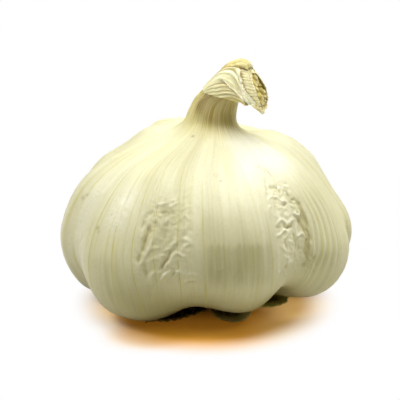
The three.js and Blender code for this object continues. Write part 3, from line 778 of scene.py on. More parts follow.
def skin_mesh():
    """The skin over the cloves and the neck, with its veins, folds and colour maps."""
    veins = vein_azimuths()
    columns, boldness = column_azimuths(veins)
    stations = skin_stations()
    base, station = np.meshgrid(columns, stations, indexing="ij")
    azimuth = base + sway(base, station)
    along_neck = station - FOOT_OF_NECK
    turn = azimuth - NECK_BEND_AZIMUTH
    hem = hem_along(turn)
    inset = mixed(HEM_INSET, CORE_INSET, smoothstep(along_neck, hem + 0.25, hem + 1.1))
    inset = np.where(along_neck > 1.0, inset * smoothstep(along_neck, hem - 0.9, hem), 0.0)
    points = skin_point(station, azimuth, inset)
    outward = grid_normals(points, closed=True)
    height = points[..., 2]

    neck = smoothstep(station, 11.0, 13.6)
    grain = round_place(base, 30, station * 6.0)
    ringwise = round_place(base, 5, along_neck * 0.35)

    random = np.random.default_rng(23)
    panel, share = panels(columns, veins)
    belly = random.uniform(-0.13, 0.03, len(veins))[panel] * 4 * share * (1 - share)
    relief = belly[:, None] * hump(stations, 3.5, 5.5, 9.0, 12.0)[None, :]
    relief += 0.035 * boldness[:, None] * hump(stations, 3.0, 5.0, 10.0, 12.0)[None, :]
    relief += 0.22 * rumple(points * [1, 1, 0.6], 9.0, 1)
    relief += 0.07 * rumple(points * [1, 1, 0.4], 3.0, 2) * (1 - neck)
    stripes = grain * [1, 1, 0.12]
    relief += 0.03 * rumple(stripes, 1.3, 3) * hump(station, 3.5, 5.0, 10.0, 12.0)
    pleats = rumple(ringwise, 0.8, 4) + 0.6 * rumple(ringwise, 0.42, 5)
    relief += 0.11 * pleats * neck
    loose = fold_relief(points, loose_folds())
    folds = fold_relief(points, FRONT_FOLDS) + loose
    facets, chafed, crinkle = crumple_relief(points, azimuth, height)
    folds += facets + crinkle
    relief += folds
    ribs = np.sin(np.radians(base * RIB_COUNT + 150 * rumple(grain * [1, 1, 0.15], 5.0, 9)))
    ribs *= hump(base, 48, 51, 66, 73) * hump(height, 9, 14, 24, 31)
    relief += (0.11 + 0.1 * rumple(grain * [1, 1, 0.2], 3.0, 10)) * ribs
    for middle, level, wide, tall, rise in SWELLINGS:
        around = np.mod(azimuth - middle + 180, 360) - 180
        relief += rise * np.exp(-(around / wide) ** 2 - ((station - level) / tall) ** 2)
    under = 1 - smoothstep(station, 2.6, 3.6)
    relief *= 1 - 0.7 * under
    points = points + outward * relief[..., None]

    beside = np.maximum(np.roll(boldness, 1), np.roll(boldness, -1))
    seen = hump(station, 2.4, 4.0, 10.5, 13.0)
    faint = smoothstep(height, 21, 28) * hump(azimuth, -10, -3, 45, 60)
    tone = random.uniform(0, 1, len(veins))[panel]
    attributes = {
        "grain": grain,
        "vein": (boldness > 0)[:, None] * seen,
        "boldness": (
            np.maximum(boldness, beside)[:, None] * (1 - 0.6 * faint) * smoothstep(height, 1.0, 13.0)
        ),
        "panel": tone[:, None] * hump(station, 3.0, 5.0, 9.5, 12.0),
        "dark_patch_and_shade": darkened_skin(azimuth, height),
        "neck": neck,
        "shade": column_shade(along_neck, turn),
        # the fold relief, which the finish paints lighter on ridges and darker in grooves
        "fold": np.clip((folds - 0.6 * loose + 0.16 * ribs) / 0.4, -1, 1),
        "chafed": chafed,
        "stain": spotted(points, SPOTS),
        # painted shade: darker towards the bottom, except low on the left side
        "low": (1 - smoothstep(height, 10.0, 27.0)) * (1 - hump(azimuth, -110, -80, -52, -38)),
        # painted contact shade: darker olive near the ground, strongest at the front and weakest at the
        # sides
        "foot": (1 - smoothstep(height, 3.0, 12.0)) * (
            1 + 1.0 * hump(azimuth, 20, 28, 38, 44) + 0.5 * hump(azimuth, -20, -10, 0, 10)
            - 0.8 * hump(azimuth, -90, -75, -38, -22) - 0.8 * hump(azimuth, 43, 49, 80, 95)
        ),
        # painted light: paler skin high on the right shoulder and low on the left side
        "painted_light": (1 - neck) * (
            hump(azimuth, 14, 26, 60, 75) * smoothstep(height, 29.0, 35.0)
            + 0.6 * hump(azimuth, -120, -90, -62, -50) * (1 - smoothstep(height, 9.0, 20.0))
        ),
        "under": 1 - smoothstep(station, 2.4, 4.3),
    }
    bottom = (0, 0, PLATE_HEIGHT + 0.35)
    return tube_mesh("bulb_skin", points, bottom, points[:, -1].mean(0), attributes)


# ---- The leaf sheaths round the neck ----

SHEATH_THICKNESS = 0.16
NECK_RADIUS = 4.2
RING_SPACING = 2.4  # mm along the neck from one ring to the next, about


def leaf_grain(along, turn):
    """Where patterns see the sheaths, in mm: round the neck and along it."""
    angle = np.radians(turn)
    across = NECK_RADIUS * np.cos(angle), NECK_RADIUS * np.sin(angle)
    return np.stack([*across, along * RING_SPACING], -1)


def sheath_sheet(name, along, turn, proud, closed, carried):
    """A sheet that follows the neck, standing proud of its outermost layer."""
    smooth = neck_point(along, turn)
    outward = grid_normals(smooth, closed)
    outer = smooth + outward * proud[..., None]
    inner = outer - grid_normals(outer, closed) * SHEATH_THICKNESS
    return leaf_sheet(name, outer, inner, closed, {"grain": leaf_grain(along, turn), **carried})


# Creases between the pleats of the outer sheath: rings along the neck, then degrees
# round it. They fan out from the left end of its hem.
PLEAT_CREASES = [
    ([3.0, 3.7, 4.5, 5.3], [233, 238, 243, 254]),
    ([3.1, 3.24, 4.31, 5.4, 6.0], [236, 238, 251.5, 269, 276]),
    ([3.1, 3.14, 4.14, 5.66, 6.2], [241, 243, 263, 277.5, 285]),
    ([3.1, 3.16, 3.94, 5.78, 6.5], [249, 253, 273, 288.5, 295]),
    ([3.3, 3.68, 5.06, 6.21, 6.8], [270, 282, 296, 301.5, 304]),
    ([3.8, 4.08, 5.69, 6.51, 7.0], [300, 305, 312, 315, 317]),
]

# The leaf folded over the pleats and narrowing to a tip: its lower and upper edges, as
# rings along the neck and degrees round it, from its left end to its tip.
LEAF_LOWER = [(2.98, 233), (3.68, 241.5), (4.46, 245.5), (4.98, 251), (5.3, 261), (5.64, 275),
              (6.16, 284), (6.73, 295), (7.3, 298), (7.9, 293), (8.6, 281)]
LEAF_UPPER = [(2.98, 206), (3.4, 202), (4.1, 200), (4.7, 200), (5.4, 203), (6.3, 206),
              (6.75, 222), (6.93, 245), (7.1, 264), (7.75, 272), (8.66, 278)]
# The far edge of the pleats, as degrees round the neck and rings along it.
FAR_TURNS = [0, 180, 215, 240, 262, 285, 300, 330, 360]
FAR_ALONG = [6.2, 6.9, 6.3, 6.2, 6.4, 6.6, 6.8, 6.4, 6.2]


def edge_points(edge, count):
    """count points spread along an edge given by a few."""
    stations = np.linspace(0, len(edge) - 1, count)
    numbers = np.arange(len(edge))
    return np.stack([np.interp(stations, numbers, column) for column in np.array(edge).T], -1)


def pleat_number(along, turn):
    """A count of pleats that is a whole number on each crease."""
    creases = [np.interp(along, ats, turns) for ats, turns in PLEAT_CREASES]
    creases = [creases[0] - 40] + creases + [creases[-1] + 30]
    number = np.zeros_like(turn)
    for low, high in zip(creases, creases[1:]):
        number += np.clip((turn - low) / (high - low), 0, 1)
    return number


def pleated_layer():
    """The outer sheath, pleated at the front and pressed flat at the far side."""
    turn, share = round_grid(320, 64)
    ragged = 0.03 * np.sin(np.radians(23 * turn)) + 0.02 * np.sin(np.radians(41 * turn + 60))
    along = mixed(hem_along(turn) + ragged, np.interp(turn, FAR_TURNS, FAR_ALONG), share)
    turn = np.broadcast_to(turn, along.shape)
    number = pleat_number(along, turn)
    bulge = np.abs(np.sin(np.pi * number)) ** 0.55
    seen = hump(turn, 215, 235, 325, 345)
    proud = 0.02 + 0.34 * bulge * seen * smoothstep(share, -0.1, 0.2)
    proud = proud + 0.16 * (1 - seen) * np.abs(np.sin(np.radians(turn * 9 + along * 6)))
    grain = leaf_grain(along, turn + 8 * along)
    proud = proud + 0.05 * rumple(grain * [1, 1, 0.3], 0.6, 31)
    flush = hump(turn, 150, 175, 222, 240)
    proud = proud - 0.32 * flush * (1 - smoothstep(share, 0.05, 0.4))
    edge = np.array(LEAF_LOWER)
    past = turn - np.interp(along, edge[:9, 0], edge[:9, 1])
    # painted shade: darker in the creases between pleats, a painted shadow below the folded leaf's lower
    # edge, and the far side dimmed
    shadow = np.exp(-((past - 2) / 6.0) ** 2) * smoothstep(along, 4.2, 5.2)
    crease_shade = (1 - bulge) ** 1.2 * seen
    dimmed = 0.5 * smoothstep(turn, 286, 316) * (1 - smoothstep(turn, 350, 360))
    crease_shade = np.clip(0.12 + 1.2 * crease_shade + 1.0 * shadow + dimmed, 0, 1)
    return sheath_sheet("pleats", along, turn, proud, True, {"crease_shade": crease_shade, "painted_highlight": 0 * turn})


def folded_leaf():
    """The leaf folded over the pleats, with curled edges, narrowing to a tip painted pale."""
    share, across = strip_grid(190, 64)
    lower, upper = edge_points(LEAF_LOWER, share.size), edge_points(LEAF_UPPER, share.size)
    tip = smoothstep(share, 0.62, 0.72)
    torn = 0.02 + 0.07 * tip * (1 - smoothstep(share, 0.86, 0.98))
    ragged = torn * (np.sin(share * 71) + np.sin(share * 133 + 1))
    along = mixed(lower[:, :1] + ragged, upper[:, :1] - ragged, across)
    turn = mixed(lower[:, 1:], upper[:, 1:], across)
    settled = smoothstep(share, 0.0, 0.3)
    curl_low = (1 - smoothstep(across, 0.0, 0.16)) * smoothstep(share, 0.22, 0.42)
    curl_up = smoothstep(across, 0.8, 1.0) * hump(share, 0.5, 0.62, 0.85, 1.0)
    fan = across * 3.1 + 0.9 * share + 0.25 * np.sin(share * 7)
    waves = 1 - 2 * np.abs(np.sin(np.pi * fan)) ** 0.75
    waves = waves + 0.35 * np.sin(across * 31 - share * 6)
    knuckle = np.sin(share * 46 + 5 * across) * hump(share, 0.68, 0.76, 0.86, 0.96)
    ridge = np.exp(-((across - 0.86) / 0.07) ** 2) * hump(share, 0.55, 0.64, 0.8, 0.9)
    tucked = 1 - 0.85 * smoothstep(across, 0.72, 0.92) * (1 - smoothstep(share, 0.52, 0.62))
    proud = 0.32 * settled + 0.12 * np.sin(np.pi * across) + 0.32 * curl_low + 0.22 * curl_up
    proud = 0.06 + tucked * (proud + 0.1 * waves * settled) + 0.12 * knuckle + 0.34 * ridge
    grain = leaf_grain(along, turn)
    proud = proud + 0.04 * rumple(grain, 0.7, 33)
    # painted shade in the fold valleys, in a hollow and beside the ridge; painted highlights on the tip,
    # the ridge and the curled lower edge
    hollow = np.exp(-((across - 0.72) / 0.05) ** 2) * hump(share, 0.55, 0.64, 0.76, 0.86)
    beside = hump(across, 0.58, 0.68, 0.8, 0.9) * hump(share, 0.02, 0.12, 0.5, 0.6)
    crease_shade = 0.3 * smoothstep(-waves, 0.2, 1.0) * settled * (1 - curl_up) + 0.5 * hollow + 0.65 * beside
    painted_highlight = np.clip(0.95 * tip + 0.9 * ridge + 0.8 * curl_low, 0, 1)
    return sheath_sheet("leaf", along, turn, proud, False, {"crease_shade": crease_shade, "painted_highlight": painted_highlight})


# The rim of the middle sheath, as degrees round the neck and rings along it.
RIM_TURNS = [0, 45, 90, 130, 180, 203, 211, 230, 241, 253, 270, 285, 300, 312, 325, 340, 360]
RIM_ALONG = [6.8, 7.1, 7.4, 7.5, 7.3, 7.5, 8.0, 8.6, 9.0, 9.4, 9.7, 9.7, 9.3, 8.6, 7.6, 7.0, 6.8]


def middle_sheath_mesh():
    """The sheath under the folded leaf, wrinkled crosswise, with a fluttering lip."""
    turn, share = round_grid(340, 110)
    rim = np.interp(turn, RIM_TURNS, RIM_ALONG)
    ragged = 0.06 * np.sin(np.radians(17 * turn)) + 0.05 * np.sin(np.radians(43 * turn + 20))
    along = mixed(5.0, rim + ragged, share)
    turn = np.broadcast_to(turn, along.shape)
    place = leaf_grain(along, turn)
    line = turn + 15 * along + 2.5 * rumple(place, 2.2, 43)
    wrinkle = np.sin(np.radians(line * 43)) + 0.6 * np.sin(np.radians(line * 69))
    strength = np.clip(0.8 + 0.6 * rumple(place, 1.2, 41), 0.3, 1.3)
    lip = smoothstep(share, 0.95, 1.0)
    flutter = rumple(place * [1, 1, 0.2], 0.9, 44)
    under = hump(turn, 300, 318, 345, 360)
    proud = -0.12 - 0.35 * under + 0.07 * wrinkle * strength + (0.16 + 0.3 * flutter) * lip
    proud = proud + 0.08 * rumple(place, 2.0, 42)
    edge = np.array(LEAF_UPPER)[5:10]
    past = along - np.interp(turn, edge[:, 1], edge[:, 0])
    # painted shade: darker in the wrinkle grooves, a painted shadow just past the leaf's upper edge, and
    # darker under the far side
    shadow = np.exp(-(np.maximum(past, 0) / 0.22) ** 2) * hump(turn, 208, 222, 268, 274)
    hollow = 0.42 * smoothstep(-wrinkle, 0.2, 1.3) * strength + 0.7 * shadow + 0.2 * under
    carried = {"rim": lip, "crease_shade": np.clip(hollow, 0, 1)}
    return sheath_sheet("middle_sheath", along, turn, proud, True, carried)


# The mouth of the innermost layers, as degrees round the neck and rings along it.
MOUTH_TURNS = [0, 30, 60, 90, 130, 155, 180, 210, 240, 265, 285, 300, 315, 330, 345, 360]
MOUTH_ALONG = [7.8, 7.85, 8.1, 8.35, 8.4, 8.1, 8.0, 8.5, 9.1, 9.4, 9.5, 9.2, 8.7, 8.2, 7.9, 7.8]


def mouth_along(turn):
    """Rings along the neck at the mouth of the innermost layers."""
    return np.interp(np.mod(turn, 360.0), MOUTH_TURNS, MOUTH_ALONG)


def inner_sheath_mesh():
    """The crumpled sheath whose rim shows in the mouth of the neck."""
    turn, share = round_grid(260, 90)
    ragged = 0.08 * np.sin(np.radians(11 * turn)) + 0.05 * np.sin(np.radians(37 * turn + 50))
    along = mixed(5.4, mouth_along(turn) + ragged, share)
    turn = np.broadcast_to(turn, along.shape)
    place = leaf_grain(along, turn)
    crumple = creased(place * [1, 1, 0.5], 1.5, 51) + 0.4 * creased(place, 0.8, 52)
    lip = smoothstep(share, 0.94, 1.0)
    far = hump(turn, 15, 50, 140, 175)
    proud = -0.62 + 0.22 * far + 0.26 * crumple * smoothstep(share, 0.5, 0.8)
    # ridge: the crests of the crumples, which the finish paints pale as highlights
    carried = {"ridge": np.clip(crumple * 1.2 - 0.4, 0, 1), "rim": 0.5 * lip}
    return sheath_sheet("inner_sheath", along, turn, proud, True, carried)


# Spacing of the heart's folds along the neck's lean and up, in mm.
LEAF_FOLD_PITCH = 1.3
CROSS_FOLD_PITCH = 1.0


def heart_leaf_mesh():
    """The crumpled leaves that fill the mouth of the neck, closed over at their end."""
    turn, share = round_grid(200, 110)
    closing = smoothstep(share, 0.55, 1.0)
    swell = 0.5 * np.sin(np.pi * np.clip((share - 0.5) * 2, 0, 1))
    along = mixed(5.8, mouth_along(turn) - 0.35, np.minimum(share / 0.6, 1.0))
    turn = np.broadcast_to(turn, along.shape)
    inset = 1.0 + 1.4 * closing
    flat = neck_point(along, turn, inset)
    strayed = flat + 0.5 * np.stack([rumple(flat, 2.0, seed) for seed in (63, 64, 65)], -1)
    lengthwise = np.sin(2 * np.pi * strayed[..., 0] / LEAF_FOLD_PITCH)
    crosswise = np.sin(2 * np.pi * strayed[..., 2] / CROSS_FOLD_PITCH)
    across = 0.65 * lengthwise + 0.4 * crosswise + 0.2 * creased(flat, 0.9, 62)
    lift = smoothstep(share, 0.4, 0.65)
    along = along + (0.55 * across - 0.3 + swell) * lift * 0.6
    points = neck_point(along, turn, inset - 0.3 * across * (1 - closing) * lift)
    # ridge: the crests of the folds, which the finish paints pale as highlights
    carried = {"grain": leaf_grain(along, turn), "ridge": np.clip(across * 1.1 - 0.35, 0, 1)}
    bottom, top = points[:, 0].mean(0), points[:, -1].mean(0)
    return tube_mesh("heart_leaf", points, bottom, top, carried)


# The scrap's lower edge from its left end to its right, as rings along the neck and
# degrees round it, and the middle of its upper edge in degrees.
SCRAP_LOWER = [(4.5, 211), (4.9, 211), (5.5, 217), (6.0, 222), (6.6, 212), (7.1, 206), (7.4, 203)]
SCRAP_UPPER = 160


def top_scrap_mesh():
    """The crumpled scrap of skin that lies over the bend."""
    share, across = strip_grid(150, 70)
    position = share * (len(SCRAP_LOWER) - 1)
    numbers = np.arange(len(SCRAP_LOWER))
    lower_along, lower_turn = [np.interp(position, numbers, edge) for edge in zip(*SCRAP_LOWER)]
    ragged = 1.2 * np.sin(share * 31) + 0.8 * np.sin(share * 67 + 2)
    upper_turn = SCRAP_UPPER + 6 * np.sin(share * 9) + ragged
    along = lower_along + 0.1 * np.sin(across * 17) * (share - 0.5) + 0 * across
    turn = mixed(lower_turn + 0.6 * ragged, upper_turn, across)
    place = leaf_grain(along, turn)
    crumple = creased(place * [1, 1, 0.45], 2.2, 71) + 0.3 * creased(place, 1.1, 72)
    folds = np.abs(np.sin(across * 9 + 1.2 * np.sin(share * 5) + 0.6 * rumple(place, 1.8, 73))) * 2 - 1
    edge = 1 - smoothstep(across, 0.0, 0.15)
    top = hump(share, 0.36, 0.48, 0.74, 0.9) * smoothstep(across, 0.15, 0.4)
    rise = smoothstep(across, -0.02, 0.12) * hump(share, -0.05, 0.25, 0.82, 1.05)
    proud = 0.2 + rise * (0.14 + (0.14 + 0.08 * top) * crumple + 0.12 * folds + 0.08 * top)
    # painted shade: brown-gold in the valleys of the folds and crumples, and a painted shadow line along
    # the lower edge, carried as rim
    crease_shade = 0.9 * smoothstep(-folds, 0.3, 1.0) + 0.5 * smoothstep(0.55 - crumple, 0.0, 0.5)
    carried = {"rim": edge + 0 * along, "crease_shade": np.clip(crease_shade, 0, 1)}
    return sheath_sheet("top_scrap", along, turn, proud, False, carried)


# ---- The foot ----

# The root plate's outline from the middle of its underside to the middle of its top,
# as radius and height.
PLATE_OUTLINE = [
    (0.6, 0.05), (3.2, 0.0), (PLATE_RADIUS - 0.5, 0.0), (PLATE_RADIUS, 0.35),
    (PLATE_RADIUS, PLATE_HEIGHT * 0.55), (PLATE_RADIUS - 0.8, PLATE_HEIGHT),
    (4.0, PLATE_HEIGHT), (0.6, PLATE_HEIGHT),
]
ROOT_COUNT = 46
ROOT_SIDES, ROOT_RINGS = 10, 18


def root_plate_mesh():
    """The woody plate, built in rings, with a rough rim."""
    turn, share = round_grid(120, 26)
    share = share[0] * (len(PLATE_OUTLINE) - 1)
    radius, height = [
        np.interp(share, range(len(PLATE_OUTLINE)), side)[None, :] for side in zip(*PLATE_OUTLINE)
    ]
    points = heading(turn + 0 * radius) * radius[..., None]
    points[..., 2] = height
    rough = 0.22 * creased(points, 1.6, 81) + 0.12 * rumple(points, 0.6, 82)
    rim = hump(share, 1.0, 2.5, 5.0, 6.0)[None, :]
    points = points + heading(turn + 0 * radius) * (rough * rim)[..., None] * 0.8
    return tube_mesh("root_plate", points, (0, 0, 0.1), (0, 0, PLATE_HEIGHT), {}, baked=False)


def root_mesh(azimuth, reach, droop, thickness, bend, seed):
    """A root stub: a tapering stalk from the plate's rim, wavering in girth and closed to a point."""
    share = np.linspace(0, 1, ROOT_RINGS)
    outward = heading(np.array(azimuth + 0.0))
    sideways = heading(np.array(azimuth + 90.0))
    radius = mixed(PLATE_RADIUS - 1.3, reach, share)
    height = mixed(1.2, thickness + 0.12 + droop, share**0.8)
    wander = bend * share**2 + 0.12 * np.sin(share * 9 + seed)
    centre = outward * radius[:, None] + sideways * wander[:, None]
    centre[:, 2] = height
    girth = thickness * (1.25 - 0.6 * share) * (1 + 0.18 * np.sin(share * 23 + seed))
    angle = np.linspace(0, 2 * np.pi, ROOT_SIDES, endpoint=False)[:, None]
    side = sideways[None, None, :] * np.cos(angle)[..., None]
    up = np.array([0, 0, 1.0])[None, None, :] * np.sin(angle)[..., None]
    points = centre[None] + (side + up) * girth[None, :, None]
    return tube_mesh("root", points, centre[0], centre[-1] + outward * 0.1, {}, baked=False)


def roots_and_plate():
    """The root plate and the cut roots round its rim, as one piece."""
    random = np.random.default_rng(9)
    meshes = [root_plate_mesh()]
    for number in range(ROOT_COUNT):
        azimuth = 360 * number / ROOT_COUNT + random.uniform(-3, 3)
        reach = random.uniform(7.9, 11.3)
        droop = random.uniform(0.0, 0.7)
        bend = random.uniform(-1.4, 1.4)
        meshes.append(root_mesh(azimuth, reach, droop, random.uniform(0.16, 0.32), bend, number))
    return merged("root_plate", meshes)


TORN_SKIN_THICKNESS = 0.25
LOWEST = 0.06  # a torn skin stays this far off the ground, in mm


def base_skin_mesh(name, start, end, inner, outer, height, crumple, seed, rim_curl):
    """A torn piece of old skin under the cloves, reaching out from the root plate."""
    share, out = strip_grid(90, 40)
    tear = 0.22 * np.sin(share * 13 + seed) + 0.10 * np.sin(share * 31 + 2 * seed)
    radius = mixed(inner + 0 * share, outer(share) + tear, out)
    azimuth = mixed(start, end, share) + 0.8 * np.sin(out * 7 + seed)
    points = heading(azimuth) * radius[..., None]
    points[..., 2] = height(share, out) + rim_curl * smoothstep(out, 0.75, 1.0)
    bumps = crumple * (creased(points, 1.8, seed) + 0.5 * rumple(points, 0.8, seed + 1))
    points[..., 2] = np.maximum(points[..., 2] + bumps, LOWEST)
    upper = points.copy()
    upper[..., 2] += TORN_SKIN_THICKNESS
    place = np.stack([radius * 0.2 + 0 * azimuth, azimuth * 0.35, radius], -1)
    # rim: the outer edge, which the finish paints paler, partly as light falling on it
    rim = smoothstep(out, 0.7, 0.88) + 0 * share
    return leaf_sheet(name, upper, points, False, {"grain": place, "rim": rim})


def olive_edge(share):
    """How far the olive flap reaches out, which makes it a rounded tongue."""
    return np.interp(share, [0, 0.12, 0.25, 0.36, 0.5, 0.71, 1], [13.7, 17.2, 19.6, 20.8, 21, 20, 17.2])


# The torn skins: shape, finish, slot and node. A shape is a name, the azimuths it lies
# between, the radius of its inner edge, those of its outer edge and its heights over
# share t and out, then how crumpled it is in mm, a seed and the curl of its rim in mm.
TORN_SKINS = [
    (
        ("dark_torn_skin", -32, 1, 9.0, lambda t: 24.2 - 10.6 * t + 1.2 * np.sin(3.2 * t),
         lambda t, out: 0.25 + 0.6 * out * t, 0.35, 91, 0.3),
        ("soil_brown_skin", "#8f7030", "#281b07", "#b08e44", 0.8), "dark_base_skin", "base_skin_front",
    ),
    (
        ("olive_skin_flap", 1, 36, 9.5, olive_edge,
         lambda t, out: 0.2 + 1.1 * (1 - out**4) + 1.2 * out * (2 * t - 1) ** 4, 0.08, 95, 0.35),
        ("olive_grey_skin", "#c4b262", "#86752e", "#e8d684", 0.6), "olive_base_skin", "base_skin_middle",
    ),
    (
        ("green_skin_flap", 38, 68, 10.5, lambda t: 18.0 + 1.9 * t + 1.0 * np.sin(np.pi * t),
         lambda t, out: 0.9 + 1.4 * out - (0.6 + 0.6 * np.sin(np.pi * t)) * out**4, 0.16, 99, 0.3),
        ("green_straw_skin", "#e8d630", "#8c7a14", "#fff690", 0.65), "green_base_skin", "base_skin_right",
    ),
]


# ---- Finishes ----

def paint(code):
    """Linear colour of an sRGB hex code."""
    channels = [int(code[i:i + 2], 16) / 255 for i in (1, 3, 5)]
    return tuple(c / 12.92 if c <= 0.04045 else ((c + 0.055) / 1.055) ** 2.4 for c in channels) + (1,)


def add(tree, kind, sockets=None, out=0, **settings):
    """Adds a node with its settings and links, and returns one of its outputs.

    A socket's value is a number, a colour or another node's output.
    """
    node = tree.nodes.new(kind)
    for key, value in settings.items():
        setattr(node, key, value)
    for key, value in (sockets or {}).items():
        if isinstance(value, bpy.types.NodeSocket):
            tree.links.new(value, node.inputs[key])
        else:
            node.inputs[key].default_value = value
    return node.outputs[out] if node.outputs else None


def amount(tree, *factors):
    """The product of some factors.

    A factor is a number, an output, or the name of a number that the mesh carries. In
    a tuple, the factor is followed by its low and high, and by what they turn into,
    which is 0 and 1 where it isn't given.
    """
    product = None
    for factor in factors:
        value, *span = factor if isinstance(factor, tuple) else (factor,)
        if isinstance(value, str):
            value = add(tree, "ShaderNodeAttribute", out="Fac", attribute_name=value)
        if span:
            low, high, to_low, to_high = (*span, 0.0, 1.0)[:4]
            sockets = {0: value, 1: low, 2: high, 3: to_low, 4: to_high}
            value = add(tree, "ShaderNodeMapRange", sockets, interpolation_type="SMOOTHSTEP")
        if product is None:
            product = value
        else:
            product = add(tree, "ShaderNodeMath", {0: product, 1: value}, operation="MULTIPLY")
    return product


def coated(tree, colour, coats):
    """colour under thin coats, the last on top: each a colour, then its amount's factors."""
    colour = paint(colour)
    for coat, *factors in coats:
        coat = paint(coat) if isinstance(coat, str) else coat
        sockets = {0: amount(tree, *factors), 6: colour, 7: coat}
        colour = add(tree, "ShaderNodeMix", sockets, out=2, data_type="RGBA")
    return colour


def new_finish(name):
    """An empty material and its node tree."""
    material = bpy.data.materials.new(name)
    material.use_nodes = True
    material.node_tree.nodes.clear()
    return material, material.node_tree


def grain_pattern(tree, squeeze, pitch, detail=2.0):
    """Noise in streaks along the leaf: pitch apart in mm, squeeze times as long.

    Pitches under 0.7 mm stand for fibres and wrinkles that lie closer together on a
    real leaf. They are drawn this coarse so that they show.
    """
    grain = add(tree, "ShaderNodeAttribute", out="Vector", attribute_name="grain")
    scaled = add(tree, "ShaderNodeVectorMath", {0: grain, 1: (1, 1, 1 / squeeze)}, operation="MULTIPLY")
    sockets = {"Vector": scaled, "Scale": 1 / pitch, "Detail": detail, "Roughness": 0.55}
    return add(tree, "ShaderNodeTexNoise", sockets, out="Fac")


DRY_LEAF_IOR = 1.45


def finish_leaf(material, tree, colour, roughness, height, bump_mm):
    """Ends a finish with one shader. height is raised by bump_mm where it is 1."""
    bump = add(tree, "ShaderNodeBump", {"Strength": 1.0, "Distance": bump_mm * MM, "Height": height})
    shader = add(tree, "ShaderNodeBsdfPrincipled", {
        "Base Color": colour, "Roughness": roughness, "IOR": DRY_LEAF_IOR, "Normal": bump,
    })
    add(tree, "ShaderNodeOutputMaterial", {"Surface": shader}, is_active_output=True)
    return material


def drawn_papery_skin():
    """Garlic's outer leaf skin dried tight: satin, ivory, with straw-yellow veins.

    The eye sees fine fibres about 0.66 mm apart that fan down from the neck, thin yellow
    veins over them, a faint mottle, a soft sheen and a darker streaked patch on the front
    clove. Light and shade are painted in as well: paler on the right shoulder and low on
    the left, darker towards the bottom, near the ground, in fold grooves, round the valleys
    and on the neck below the bend, and paler on fold ridges.
    """
    material, tree = new_finish("drawn_papery_skin")
    fine = grain_pattern(tree, 40, 0.66)
    hair = grain_pattern(tree, 30, 0.3)
    broad = grain_pattern(tree, 14, 3.4)
    cloud = grain_pattern(tree, 1.6, 8.0, 3.0)
    mottle = grain_pattern(tree, 1.0, 0.7, 3.0)
    broken = grain_pattern(tree, 5, 2.0)
    colour = coated(tree, "#f5f2cf", [
        ("#ece8c0", (cloud, 0.4, 0.7)),
        ("#e6e0b8", "panel", 0.4),
        ("#dfd9a2", (fine, 0.48, 0.72), 0.38),
        ("#e4dea9", (hair, 0.5, 0.7), 0.3),
        ("#ddd59d", (broad, 0.55, 0.72), 0.3),
        ("#d5ce9c", (mottle, 0.5, 0.68), 0.22),
        # painted shade, darker towards the bottom
        ("#dedbb3", "low", 0.4),
        # painted light, where the skin is made paler
        ("#fffef0", "painted_light", 0.45),
        # painted contact shade near the ground
        ("#948e50", "foot", 0.55),
        ("#dcd584", ("vein", 0.1, 0.85), "boldness", (broken, 0.36, 0.62, 0.25, 1.0)),
        # a darker streaked patch on the front clove, and painted shade beside it and round the valleys
        ("#a9a260", "dark_patch_and_shade", 0.52),
        ("#f8f6da", "chafed", (mottle, 0.4, 0.6, 0.35, 0.9)),
        # paler fold ridges, partly painted highlight, and painted shade in the grooves
        ("#fbf9e2", ("fold", 0.15, 0.7), 0.6),
        ("#b5aa6e", ("fold", -0.1, -0.7), 0.6),
        ("#cdc066", "neck", (fine, 0.35, 0.65, 0.45, 0.95)),
        # painted shadow of the bend, over brown staining, on the neck below the hem
        ("#7e5b00", "shade", (fine, 0.35, 0.62, 0.55, 1.0)),
        ("#8f7a28", "stain"),
        ("#6c661f", "under", (broad, 0.3, 0.6, 0.6, 0.95)),
    ])
    roughness = amount(tree, (cloud, 0.35, 0.7, 0.44, 0.56))
    height = add(tree, "ShaderNodeMath", {0: fine, 1: amount(tree, mottle, 0.6)}, operation="ADD")
    height = amount(tree, height, ("neck", 0.0, 1.0, 1.0, 0.15))
    return finish_leaf(material, tree, colour, roughness, height, 0.035)


def bleached_leaf():
    """Outer leaf sheath dried pale and pleated: matt straw-white with long fibres.

    The eye sees cream ridges with olive-brown lines in the creases between them: the lines are painted
    shade, and the folded leaf has painted highlights.
    """
    material, tree = new_finish("bleached_leaf")
    fine = grain_pattern(tree, 12, 0.34)
    broad = grain_pattern(tree, 5, 1.3)
    colour = coated(tree, "#fffdd4", [
        ("#f0eaa8", (fine, 0.46, 0.68), 0.6),
        ("#f8f0ba", (broad, 0.45, 0.65, 0.0, 0.6)),
        # painted shade in the creases, then painted highlights
        ("#a08a28", "crease_shade", 0.75),
        ("#fffce0", "painted_highlight", 0.9),
    ])
    return finish_leaf(material, tree, colour, 0.75, fine, 0.04)


def wrinkled_leaf():
    """The sheath below it, beige and shrunk into fine cross wrinkles, pale at its rim."""
    material, tree = new_finish("wrinkled_leaf")
    fine = grain_pattern(tree, 1.2, 0.35, 3.0)
    broad = grain_pattern(tree, 2, 1.6)
    colour = coated(tree, "#fdf5c6", [
        ("#ece0a0", (fine, 0.45, 0.7), 0.5),
        ("#f2e7ac", (broad, 0.45, 0.65, 0.0, 0.6)),
        # painted shade in the wrinkle grooves and past the leaf's edge
        ("#b8962a", "crease_shade", 0.75),
        ("#fffbdc", "rim", 0.9),
    ])
    return finish_leaf(material, tree, colour, 0.55, fine, 0.05)


